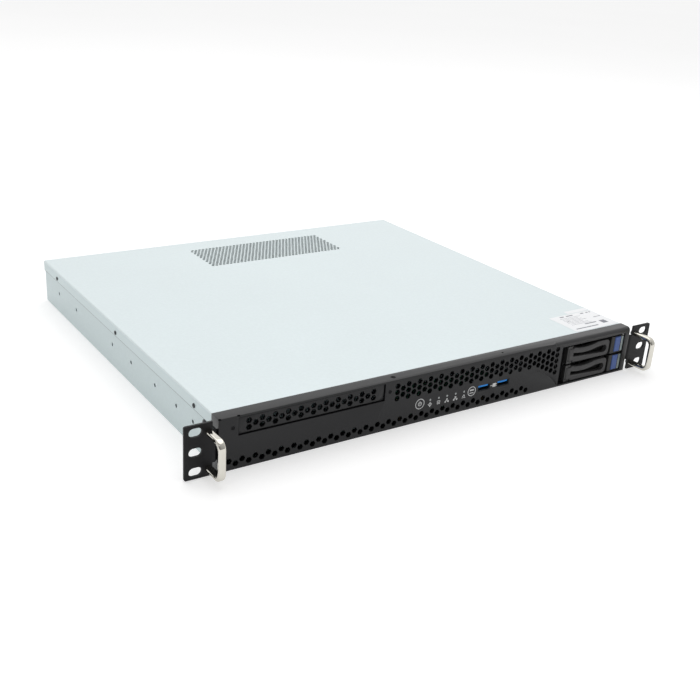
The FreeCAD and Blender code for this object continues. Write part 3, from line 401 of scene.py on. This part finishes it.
def make_finishes(colours):
    """One material for each finish of the record, and those of the printed and papered extras."""
    return {
        # Painted shade: the chassis sheet takes the darker pan tone.
        "zinc_sheet": galvanised("zinc_sheet", tuple(colours.pan)),
        # The lid's flanks get painted shade: the darker chassis tone instead of the lid's own.
        "lid_sheet": galvanised("lid_sheet", tuple(colours.lid), shade(colours.pan, 1.04)),
        "black_moulding": moulded("black_moulding", tuple(colours.moulding)),
        "black_sheet": powder_coated("black_sheet", tuple(colours.coat)),
        "chromed_steel": chromed("chromed_steel"),
        "black_screws": machined("black_screws", (0.045, 0.046, 0.05), 0.32),
        "steel_screws": machined("steel_screws", (0.55, 0.56, 0.57), 0.28),
        "blue_key": moulded("blue_key", tuple(colours.key), 0.3 * MM, 0.42),
        "clear_guide": diffusing("clear_guide", (0.20, 0.25, 0.25)),
        "tray_moulding": moulded("tray_moulding", (0.022, 0.022, 0.022), 0.4 * MM),
        "lever_moulding": moulded("lever_moulding", tuple(colours.lever), 0.3 * MM, 0.45),
        "drive_case": machined("drive_case", (0.40, 0.41, 0.42), 0.4, (1, 1, 1)),
        "circuit_board": solder_masked("circuit_board"),
        "dark_component": moulded("dark_component", (0.028, 0.028, 0.03), 0.5 * MM, 0.45),
        "plated_shell": machined("plated_shell", (0.62, 0.62, 0.61), 0.24, (1, 0.05, 1)),
        "usb_blue": moulded("usb_blue", tuple(colours.usb), 0.6 * MM, 0.3),
        "lens_clear": diffusing("lens_clear", (0.34, 0.36, 0.36)),
        "button_moulding": moulded("button_moulding", (0.024, 0.024, 0.027), 0.25 * MM, 0.4),
        "fan_moulding": moulded("fan_moulding", (0.024, 0.024, 0.026), 0.8 * MM, 0.45),
        "cooler_aluminium": machined("cooler_aluminium", (0.66, 0.67, 0.68), 0.3, (1, 0.04, 1)),
        "brass_posts": machined("brass_posts", (0.60, 0.44, 0.19), 0.25, (1, 1, 0.6)),
        "supply_sheet": machined("supply_sheet", (0.50, 0.51, 0.52), 0.34, (0.08, 1, 1)),
        # Painted shade: plated port shells made near black, as shade inside the ports.
        "port_shell": machined("port_shell", (0.05, 0.055, 0.06), 0.5, (1, 0.05, 1)),
        "print": printed("print", (0.62, 0.63, 0.63)),
        "label_print": printed("label_print", (0.24, 0.25, 0.28)),
        "label_paper": papered("label_paper"),
        "contact_gold": machined("contact_gold", (0.75, 0.55, 0.22), 0.2, (1, 0.05, 1)),
        # Near black, darker than the screws' own black finish: painted shade for the panel screws'
        # recesses.
        "relief_black": moulded("relief_black", (0.006, 0.006, 0.007), 0.4 * MM, 0.6),
    }


FINISHES = {}


# ---------------------------------------------------------------- shared steps

def only(piece):
    """Selects one piece and makes it the active one."""
    bpy.ops.object.select_all(action="DESELECT")
    piece.select_set(True)
    bpy.context.view_layer.objects.active = piece


@contextmanager
def editing(piece):
    """Edit mode on one piece, with nothing selected at first."""
    only(piece)
    bpy.ops.object.mode_set(mode="EDIT")
    bpy.ops.mesh.select_all(action="DESELECT")
    yield
    bpy.ops.object.mode_set(mode="OBJECT")


def pick(kind, test):
    """Selects those faces or edges of the piece in edit mode that pass the test."""
    modes = {"faces": "FACE", "edges": "EDGE"}
    bpy.ops.mesh.select_mode(type=modes[kind])
    bpy.ops.mesh.select_all(action="DESELECT")
    data = bpy.context.object.data
    mesh = bmesh.from_edit_mesh(data)
    for item in getattr(mesh, kind):
        item.select = test(item)
    mesh.select_flush_mode()
    bmesh.update_edit_mesh(data)


def modify(piece, kind, **settings):
    """Adds one modifier and applies it."""
    only(piece)
    bpy.ops.object.modifier_add(type=kind)
    modifier = piece.modifiers[-1]
    for name, value in settings.items():
        setattr(modifier, name, value)
    bpy.ops.object.modifier_apply(modifier=modifier.name)


def started(name):
    """The piece that was just added, under its name."""
    piece = bpy.context.object
    piece.name = name
    piece.data.name = name
    return piece


def slab(name, low, high):
    """A box between two corners, its place already in its mesh."""
    low, high = Vector(low), Vector(high)
    bpy.ops.mesh.primitive_cube_add(size=1, location=(low + high) / 2, scale=high - low)
    piece = started(name)
    bpy.ops.object.transform_apply(location=True, rotation=True, scale=True)
    return piece


def rod(name, centre, radius, depth, sides, turn=(0, 0, 0)):
    """A cylinder that stands upright unless it is turned, its place already in its mesh."""
    bpy.ops.mesh.primitive_cylinder_add(
        vertices=sides, radius=radius, depth=depth, location=centre, rotation=turn,
    )
    piece = started(name)
    bpy.ops.object.transform_apply(location=True, rotation=True, scale=True)
    return piece


def merged(name, pieces):
    """Joins pieces into the first of them."""
    only(pieces[0])
    for piece in pieces:
        piece.select_set(True)
    if len(pieces) > 1:
        bpy.ops.object.join()
    return started(name)


def cut_away(piece, cutter):
    """Takes the cutter's shape out of the piece and removes the cutter."""
    modify(piece, "BOOLEAN", operation="DIFFERENCE", solver="EXACT", object=cutter)
    bpy.data.objects.remove(cutter)


def settle(piece, body, slot, finish=None, stands_for=()):
    """Shades a finished piece, gives it its finish and hangs it on its body."""
    only(piece)
    bpy.ops.object.transform_apply(location=True, rotation=True, scale=True)
    bpy.ops.object.shade_smooth_by_angle(angle=CREASE)
    piece.data.materials.clear()
    piece.data.materials.append(FINISHES[finish or slot])
    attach(piece, body)
    if stands_for:
        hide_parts(*stands_for)
    return piece


def rounded_copy(node, width, shortest):
    """Stands for a node: the same shape in whole faces, its long outward edges slightly rounded."""
    piece = bpy.data.objects.new(node + "_dressed", NODES[node].data.copy())
    bpy.context.collection.objects.link(piece)
    with editing(piece):
        bpy.ops.mesh.select_all(action="SELECT")
        bpy.ops.mesh.remove_doubles(threshold=WELD)
        bpy.ops.mesh.dissolve_limited(angle_limit=math.radians(0.5))
        pick("edges", lambda edge: edge.calc_length() > shortest
             and len(edge.link_faces) == 2 and edge.calc_face_angle_signed() > CREASE)
        bpy.ops.mesh.bevel(offset=width, segments=2, affect="EDGES", clamp_overlap=True)
    return settle(piece, BODY_OF[node], SLOT_OF[node], stands_for=(node,))


def solids(node):
    """Lowest and highest corners of each separate solid of a node."""
    mesh = bmesh.new()
    mesh.from_mesh(NODES[node].data)
    bmesh.ops.remove_doubles(mesh, verts=mesh.verts, dist=WELD)
    waiting = set(mesh.verts)
    found = []
    while waiting:
        group = [waiting.pop()]
        for vertex in group:
            near = {edge.other_vert(vertex) for edge in vertex.link_edges} & waiting
            waiting -= near
            group += near
        corners = [vertex.co for vertex in group]
        found.append((
            Vector([min(corner[axis] for corner in corners) for axis in range(3)]),
            Vector([max(corner[axis] for corner in corners) for axis in range(3)]),
        ))
    mesh.free()
    return sorted(found, key=lambda box: tuple(box[0]))


# ---------------------------------------------------------------- lid and label

def vent_pins(sizes, level):
    """Pins for a staggered field of holes: one pin, its row, the second row, all pairs of rows."""
    place = (sizes.vent_left, sizes.vent_front, level)
    pin = rod("vent_pins", place, sizes.hole_radius, 4 * sizes.sheet, 14)
    for count, step in (
        (sizes.columns, (sizes.hole_pitch, 0, 0)),
        (2, (sizes.hole_pitch / 2, sizes.row_step, 0)),
        (sizes.row_pairs, (0, 2 * sizes.row_step, 0)),
    ):
        modify(pin, "ARRAY", count=count, use_relative_offset=False, use_constant_offset=True,
               constant_offset_displace=step)
    return pin


class RACK_OT_lid(Operator):
    """Folded lid with its staggered field of round holes and the clearance for its screws"""
    bl_idname = "rack.lid"
    bl_label = "Vented lid"

    def execute(self, context):
        sizes = context.scene.rack_lid
        low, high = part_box("top_cover")
        high.z -= sizes.label_room
        lid = slab("vented_lid", low, high)
        with editing(lid):
            pick("faces", lambda face: abs(face.normal.y) > 0.9 or face.normal.z < -0.9)
            bpy.ops.mesh.delete(type="FACE")
            pick("edges", lambda edge: len(edge.link_faces) == 2)
            bpy.ops.mesh.bevel(offset=sizes.fold, segments=4, affect="EDGES")
        modify(lid, "SOLIDIFY", thickness=sizes.sheet, offset=-1)
        cut_away(lid, vent_pins(sizes, high.z))
        sideways = (0, math.pi / 2, 0)
        cut_away(lid, merged("screw_pins", [
            rod("screw_pin", (low + high) / 2, sizes.screw_hole, 8 * sizes.sheet, 16, sideways)
            for low, high in solids("cover_screws")
        ]))
        settle(lid, BODY_OF["top_cover"], "lid_sheet", stands_for=("top_cover",))
        return {"FINISHED"}


def sticker(name, left, front, width, depth, level, sizes):
    """A rounded sheet of paper that lies on the given level."""
    bpy.ops.mesh.primitive_plane_add(size=1, location=(left + width / 2, front + depth / 2, level))
    paper = started(name)
    paper.scale = (width, depth, 1)
    bpy.ops.object.transform_apply(location=True, rotation=True, scale=True)
    with editing(paper):
        bpy.ops.mesh.select_all(action="SELECT")
        bpy.ops.mesh.bevel(offset=sizes.corner, segments=4, affect="VERTICES")
        bpy.ops.mesh.extrude_region_move(TRANSFORM_OT_translate={"value": (0, 0, sizes.paper)})
        bpy.ops.mesh.select_all(action="SELECT")
        bpy.ops.mesh.normals_make_consistent(inside=False)
    return paper


# Printed fields of the sticker: left and front edge on the sticker, width and depth, in millimetres.
RULED_LINES = tuple((8 + row % 2, 14.2 + 2.6 * row, 26 - 3 * (row % 3), 0.45) for row in range(7))
LABEL_FIELDS = (
    (4.3, 4.3, 28.5, 1.6), (22, 10.9, 15, 1.7), (41.2, 6.2, 6.7, 6.8), (9.3, 21.8, 3, 1.2),
    (44, 21.5, 9, 1), (11.5, 33, 5, 1.8), (19.5, 33, 8.5, 1.8), (38.5, 33, 4, 1.8),
    (45.5, 33, 3, 1.6), (49.7, 33, 2, 1.6), *RULED_LINES,
)


class RACK_OT_label(Operator):
    """Two blank stickers at the lid's front corner, with plain ruled fields"""
    bl_idname = "rack.label"
    bl_label = "Blank label"

    def execute(self, context):
        sizes = context.scene.rack_label
        level = TOP - context.scene.rack_lid.label_room
        left, front = sizes.left, sizes.front
        sheet = sticker("blank_label", left, front, sizes.width, sizes.depth, level, sizes)
        settle(sheet, "chassis", "lid_sheet", "label_paper")
        strip = sticker(
            "blank_strip", left + sizes.strip_inset, front + sizes.depth + sizes.strip_gap,
            sizes.strip_width, sizes.strip_depth, level, sizes,
        )
        settle(strip, "chassis", "lid_sheet", "label_paper")
        face = level + sizes.paper
        marks = [
            slab("mark", (left + across * MM, front + back * MM, face - SUNK),
                 (left + (across + wide) * MM, front + (back + deep) * MM, face + sizes.ink))
            for across, back, wide, deep in LABEL_FIELDS
        ]
        settle(merged("label_fields", marks), "chassis", "lid_sheet", "label_print")
        return {"FINISHED"}


# ---------------------------------------------------------------- screws

def cross_screw(radius, height, shank_radius, shank_length):
    """A pan-head screw along +Z with its seat at z = 0 and a cross recess in its head."""
    head = rod("screw", (0, 0, height / 2), radius, height, 28)
    with editing(head):
        pick("edges", lambda edge: all(vertex.co.z > 0.9 * height for vertex in edge.verts))
        bpy.ops.mesh.bevel(offset=min(0.55 * height, 0.3 * radius), segments=4, affect="EDGES")
    arm, half, deep = 0.58 * radius, 0.13 * radius, 0.55 * height
    blade = slab("recess", (-arm, -half, height - deep), (arm, half, height + deep))
    other = slab("recess", (-half, -arm, height - deep), (half, arm, height + deep))
    cut_away(head, blade)
    cut_away(head, other)
    shank = rod("shank", (0, 0, -shank_length / 2), shank_radius, shank_length, 16)
    return merged("screw", [head, shank])


def screw_in(low, high, out, radius, height, shank_radius, spin):
    """A cross-head screw that fills the room between two corners, with its head outwards."""
    axis = max(range(3), key=lambda number: abs(out[number]))
    screw = cross_screw(radius, height, shank_radius, high[axis] - low[axis] - height)
    seat = (low + high) / 2
    seat[axis] = (high[axis] if out[axis] > 0 else low[axis]) - out[axis] * height
    turn = UP.rotation_difference(out).to_matrix().to_4x4()
    screw.data.transform(Matrix.Translation(seat) @ turn @ Matrix.Rotation(spin, 4, "Z"))
    return screw


SPIN_STEP = 0.7  # radians between the recesses of one screw and the next

# Head radius, head height and shank radius of each set in millimetres, and the way its heads face.
SCREW_SETS = {
    "cover_screws": ("lid_screw_heads", 1.9, 0.7, 1.5, "sideways"),
    "ear_screws": ("ear_screw_heads", 2.9, 1.3, 1.5, "sideways"),
    "handle_screws": ("handle_screw_heads", 2.8, 1.8, 1.5, Vector((0, 1, 0))),
    "board_screws": ("board_screw_heads", 2.8, 1.8, 1.6, UP),
}


class RACK_OT_screws(Operator):
    """Cross-head screws of the lid, the ears, the handles and the board"""
    bl_idname = "rack.screws"
    bl_label = "Screws"

    def execute(self, context):
        for node, (name, radius, height, shank, facing) in SCREW_SETS.items():
            made = []
            for low, high in solids(node):
                out = Vector((math.copysign(1, low.x), 0, 0)) if facing == "sideways" else facing
                spin = SPIN_STEP * len(made)
                made.append(screw_in(low, high, out, radius * MM, height * MM, shank * MM, spin))
            settle(merged(name, made), BODY_OF[node], SLOT_OF[node], stands_for=(node,))
        return {"FINISHED"}


class RACK_OT_panel_screws(Operator):
    """The three recessed screws that show in the front panel"""
    bl_idname = "rack.panel_screws"
    bl_label = "Panel screws"

    def execute(self, context):
        head = 0.8 * MM
        made = []
        for low, high in solids("front_panel_screws"):
            upright = high.z - low.z > high.y - low.y
            radius = (high.x - low.x) / 2
            out = UP if upright else Vector((0, -1, 0))
            made.append(screw_in(low, high, out, radius, head, 0.8 * radius, 0))
        heads = merged("panel_screw_heads", made)
        # The heads are near black: partly the screws' own black, partly painted shade of their recesses.
        settle(heads, "chassis", "black_screws", "relief_black", stands_for=("front_panel_screws",))
        return {"FINISHED"}


# ---------------------------------------------------------------- front

def top_notches(panel, sizes):
    """Two relief notches in the panel's top edge, at its left end and the slim bay's left end."""
    low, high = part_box("front_panel")
    half = sizes.notch_width / 2
    beyond = 1 * MM
    corner = low.x + 0.8 * MM
    bay_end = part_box("slim_bay_blank")[0].x + 1.6 * MM
    slots = [
        slab("notch", (across - half, FRONT - beyond, high.z - sizes.notch_drop),
             (across + half, FRONT + sizes.notch_back, high.z + beyond))
        for across in (corner, bay_end)
    ]
    cut_away(panel, merged("notches", slots))


class RACK_OT_mouldings(Operator):
    """Front panel, blank, ears, trays and levers with their edges rounded"""
    bl_idname = "rack.mouldings"
    bl_label = "Mouldings"

    def execute(self, context):
        sizes = context.scene.rack_panel
        top_notches(rounded_copy("front_panel", sizes.edge, sizes.shortest), sizes)
        for node in ("slim_bay_blank", "left_ear", "right_ear"):
            rounded_copy(node, sizes.edge, sizes.shortest)
        for bay in ("lower", "upper"):
            rounded_copy(bay + "_tray", sizes.edge / 2, sizes.shortest)
            rounded_copy(bay + "_lever", sizes.edge, sizes.shortest / 4)
        return {"FINISHED"}


def draw_out(*way):
    """Draws the selected section along the given way."""
    bpy.ops.mesh.extrude_region_move(TRANSFORM_OT_translate={"value": way})


def bend(*centre):
    """Bends the selected section upwards by a quarter turn about a line across the front."""
    bpy.ops.mesh.spin(steps=10, angle=math.pi / 2, center=centre, axis=(1, 0, 0))


class RACK_OT_handles(Operator):
    """Bent chromed bars: a rounded section drawn out, bent, drawn along the grip, bent, drawn back"""
    bl_idname = "rack.handles"
    bl_label = "Handles"

    def execute(self, context):
        sizes = context.scene.rack_handles
        half = sizes.thick / 2
        for side in ("left", "right"):
            node = side + "_handle"
            low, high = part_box(node)
            across = (low.x + high.x) / 2
            reach = high.y - low.y - sizes.inner - half
            run = high.z - low.z - sizes.thick - 2 * sizes.inner
            turn_at = low.y + half + sizes.inner
            bpy.ops.mesh.primitive_plane_add(
                size=1, location=(across, high.y, low.z + half), rotation=(math.pi / 2, 0, 0),
            )
            bar = started(side + "_grip")
            bar.scale = (high.x - low.x, sizes.thick, 1)
            bpy.ops.object.transform_apply(location=True, rotation=True, scale=True)
            with editing(bar):
                bpy.ops.mesh.select_all(action="SELECT")
                bpy.ops.mesh.bevel(offset=sizes.corner, segments=6, affect="VERTICES")
                draw_out(0, -reach, 0)
                bend(across, turn_at, low.z + half + sizes.inner)
                draw_out(0, 0, run)
                bend(across, turn_at, high.z - half - sizes.inner)
                draw_out(0, reach, 0)
                bpy.ops.mesh.select_all(action="SELECT")
                bpy.ops.mesh.remove_doubles(threshold=WELD)
                bpy.ops.mesh.normals_make_consistent(inside=False)
            settle(bar, BODY_OF[node], "chromed_steel", stands_for=(node,))
        return {"FINISHED"}


def flat_ring(name, centre, outer, inner, height):
    """A thin ring on the front face, standing out by its height."""
    upright = (math.pi / 2, 0, 0)
    bpy.ops.mesh.primitive_circle_add(vertices=40, radius=outer, location=centre, rotation=upright)
    ring = started(name)
    bpy.ops.object.transform_apply(location=True, rotation=True, scale=True)
    with editing(ring):
        bpy.ops.mesh.select_all(action="SELECT")
        bpy.ops.mesh.extrude_edges_move()
        share = inner / outer
        bpy.ops.transform.resize(value=(share, share, share), center_override=centre)
        bpy.ops.mesh.select_all(action="SELECT")
        bpy.ops.mesh.extrude_region_move(TRANSFORM_OT_translate={"value": (0, -height, 0)})
        bpy.ops.mesh.select_all(action="SELECT")
        bpy.ops.mesh.normals_make_consistent(inside=False)
    return ring


# A sign is the outer and inner radius of its ring, where it has one, and the left, bottom, right
# and top of each straight stroke, all in units from its centre.
NET = (), (
    (-1.1, 0.7, 1.1, 2.4), (-3.2, -2.6, -1, -0.9), (1, -2.6, 3.2, -0.9),
    (-2.4, -0.6, 2.4, 0), (-0.3, 0, 0.3, 0.7),
)
DRUM = (), (
    (-2.2, 1.5, 2.2, 2.2), (-2.2, -2.2, 2.2, -1.5), (-2.2, -1.5, -1.5, 1.5),
    (1.5, -1.5, 2.2, 1.5), (-0.8, -0.4, 0.8, 0.4),
)
PEAK = (), (
    (-2.8, -2.4, 2.8, -1.8), (-0.8, 0.3, 0.8, 1.9), (-1.9, -0.8, -0.6, 0.3), (0.6, -0.8, 1.9, 0.3),
)
LAMP = (2.2, 1.3), (
    (-0.5, -3.4, 0.5, -2.2), (-0.5, -0.5, 0.5, 0.5), (-0.3, 2.3, 0.3, 3.1),
    (-3.1, -0.3, -2.3, 0.3), (2.3, -0.3, 3.1, 0.3),
)
PLUG = (), (
    (-1.0, -1.7, 2.4, 1.7), (2.4, -1.1, 3.6, -0.5), (2.4, 0.5, 3.6, 1.1), (-3.6, -0.3, -1.0, 0.3),
)
PLATE = (), ((-2.2, 0.5, 2.2, 1.7), (-2.2, -1.9, 2.2, -1.2))
SWITCH = (1.9, 1.35), ((-0.35, -0.4, 0.35, 2.3),)


def sign(pattern, centre, unit, height):
    """The pieces of one printed sign."""
    ring, strokes = pattern
    made = [flat_ring("ring", centre, ring[0] * unit, ring[1] * unit, height)] if ring else []
    for left, bottom, right, top in strokes:
        low = (centre.x + left * unit, centre.y - height, centre.z + bottom * unit)
        high = (centre.x + right * unit, centre.y + SUNK, centre.z + top * unit)
        made.append(slab("stroke", low, high))
    return made


def status_signs(sizes):
    """Plain signs under the five lights: a lamp, a drum, two branching nets and a peak."""
    made = []
    for (low, high), pattern in zip(solids("status_lenses"), (LAMP, DRUM, NET, NET, PEAK)):
        spot = Vector(((low.x + high.x) / 2, FRONT, sizes.sign_level))
        made += sign(pattern, spot, sizes.sign_size / 6, sizes.print_height)
    return made


class RACK_OT_markings(Operator):
    """Light-grey rings round the buttons, painted light for their bright rims, and the plain printed signs
    of the control panel
    """
    bl_idname = "rack.markings"
    bl_label = "Markings"

    def execute(self, context):
        sizes = context.scene.rack_panel
        high = sizes.print_height
        rings = []
        buttons = (("power_button", sizes.power_ring, SWITCH), ("id_button", sizes.ident_ring, PLATE))
        for node, outer, pattern in buttons:
            low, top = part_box(node)
            centre = Vector(((low.x + top.x) / 2, FRONT, (low.z + top.z) / 2))
            # Painted light: a flat light-grey ring stands for the bright rim round each button.
            rings.append(flat_ring("ring", centre, outer, outer - sizes.ring_width, high))
            face = Vector((centre.x, low.y, centre.z))
            button_sign = merged(node + "_sign", sign(pattern, face, MM, high))
            settle(button_sign, BODY_OF[node], "lens_clear", "print")
        settle(merged("button_rings", rings), "chassis", "lens_clear", "print")
        settle(merged("status_signs", status_signs(sizes)), "chassis", "lens_clear", "print")
        first, second = solids("front_usb_shells")
        between = Vector(((first[1].x + second[0].x) / 2, FRONT, (first[0].z + first[1].z) / 2))
        port_sign = merged("port_sign", sign(PLUG, between, MM, high))
        settle(port_sign, "chassis", "lens_clear", "print")
        return {"FINISHED"}


def comb(name, middle, count, pitch, width, back, up):
    """Like bars side by side, with their pitch and width, and their two ends in depth and height."""
    starts = [middle + (number - (count - 1) / 2) * pitch - width / 2 for number in range(count)]
    return [slab(name, (start, back[0], up[0]), (start + width, back[1], up[1])) for start in starts]


class RACK_OT_contacts(Operator):
    """Contacts of the front ports and the network sockets, and the tongues of the rear ports"""
    bl_idname = "rack.contacts"
    bl_label = "Contacts"

    def execute(self, context):
        gold = []
        for low, high in solids("front_usb_tongues"):
            back = (low.y + 0.4 * MM, high.y - 3 * MM)
            up = (low.z - 0.12 * MM, low.z + 0.05 * MM)
            gold += comb("contact", (low.x + high.x) / 2, 4, (high.x - low.x) / 4, 1.2 * MM, back, up)
        settle(merged("front_port_contacts", gold), "chassis", "plated_shell", "contact_gold")
        pins = []
        for low, high in solids("rear_network_ports"):
            back = (high.y - 9 * MM, high.y - 3 * MM)
            up = (low.z + 2.2 * MM, low.z + 2.7 * MM)
            pins += comb("pin", (low.x + high.x) / 2, 8, 1.02 * MM, 0.4 * MM, back, up)
        settle(merged("network_pins", pins), "chassis", "plated_shell", "contact_gold")
        low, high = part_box("rear_usb_ports")
        wall, first, apart, thick = 1.6 * MM, 1.9 * MM, 3.6 * MM, 1.3 * MM
        tongues = []
        for number in range(4):
            level = low.z + first + number * apart
            tongues.append(slab("tongue", (low.x + wall, high.y - 9 * MM, level),
                                (high.x - wall, high.y - 1 * MM, level + thick)))
        settle(merged("rear_port_tongues", tongues), "chassis", "usb_blue")
        return {"FINISHED"}


class RACK_OT_finishes(Operator):
    """Gives every node that stays in view the finish that the record names for it; the front port shells
    get a near-black painted shade instead of their plating
    """
    bl_idname = "rack.finishes"
    bl_label = "Finishes"

    def execute(self, context):
        # Painted shade: the plated shells of the front ports are made near black, as shade inside the
        # ports.
        darker = {"front_usb_shells": "port_shell"}
        for node, shape in NODES.items():
            for place in shape.material_slots:
                place.material = FINISHES[darker.get(node, SLOT_OF[node])]
        return {"FINISHED"}


# ---------------------------------------------------------------- studio

def white_surroundings(world, studio):
    """A white sky that is brighter behind the server than behind the camera."""
    graph = Graph(world)
    direction = graph.node("TexCoord", output="Generated")
    away = Vector((-studio.eye[0], -studio.eye[1], 0)).normalized()
    dot = {"operation": "DOT_PRODUCT"}
    along = graph.node("VectorMath", dot, {0: direction, 1: away}, output="Value")
    background = graph.tree.nodes["Background"]
    background.inputs["Color"].default_value = (1, 1, 1, 1)
    graph.feed(background.inputs["Strength"], along * studio.slope + studio.sky)


def add_light(name, power, size, place):
    """A square light of the given size that faces the origin."""
    bpy.ops.object.light_add(type="AREA", location=place)
    light = bpy.context.object
    light.name = name
    light.data.energy = power
    light.data.size = size
    light.rotation_euler = (-place).to_track_quat("-Z", "Y").to_euler()


class RACK_OT_stage(Operator):
    """Pale floor, soft white surroundings, two soft lights and the camera"""
    bl_idname = "rack.stage"
    bl_label = "Stage"

    def execute(self, context):
        scene = context.scene
        studio = scene.rack_studio
        bpy.ops.mesh.primitive_plane_add(size=40, location=(0, 0, 0))
        floor = started("floor")
        floor.data.materials.append(floor_finish("floor"))
        scene.world = bpy.data.worlds.new("studio")
        white_surroundings(scene.world, studio)
        add_light("overhead", studio.overhead, 2.5, Vector((0.2, 0.4, 2.0)))
        add_light("side_light", studio.side, 0.35, Vector((-1.3, -0.9, 1.2)))
        bpy.ops.object.camera_add(location=studio.eye, rotation=studio.turn)
        camera = bpy.context.object
        camera.data.lens = studio.lens
        camera.data.sensor_width = 36
        camera.data.shift_x = studio.shift
        scene.camera = camera
        scene.view_settings.view_transform = "Standard"
        return {"FINISHED"}


class RACK_PT_dressing(Panel):
    """The pieces in the order in which they are made"""
    bl_label = "Rack Server"
    bl_idname = "RACK_PT_dressing"
    bl_space_type = "VIEW_3D"
    bl_region_type = "UI"
    bl_category = "Rack Server"

    def draw(self, context):
        for operator in OPERATORS:
            self.layout.operator(operator.bl_idname)
        for name in SETTINGS:
            group = getattr(context.scene, name)
            column = self.layout.box().column()
            for setting in group.__annotations__:
                column.prop(group, setting)


SETTINGS = {
    "rack_lid": LidSizes,
    "rack_label": LabelSizes,
    "rack_panel": PanelSizes,
    "rack_handles": HandleSizes,
    "rack_colours": SheetColours,
    "rack_studio": StudioSettings,
}
OPERATORS = (
    RACK_OT_finishes, RACK_OT_lid, RACK_OT_label, RACK_OT_screws, RACK_OT_panel_screws,
    RACK_OT_mouldings, RACK_OT_handles, RACK_OT_markings, RACK_OT_contacts, RACK_OT_stage,
)


def register():
    for group in (*SETTINGS.values(), *OPERATORS, RACK_PT_dressing):
        bpy.utils.register_class(group)
    for name, group in SETTINGS.items():
        setattr(bpy.types.Scene, name, PointerProperty(type=group))


def unregister():
    for name in SETTINGS:
        delattr(bpy.types.Scene, name)
    for group in (RACK_PT_dressing, *OPERATORS, *SETTINGS.values()):
        bpy.utils.unregister_class(group)


def main():
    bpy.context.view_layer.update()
    register()
    FINISHES.update(make_finishes(bpy.context.scene.rack_colours))
    for operator in OPERATORS:
        family, name = operator.bl_idname.split(".")
        getattr(getattr(bpy.ops, family), name)()


if __name__ == "__main__":
    main()
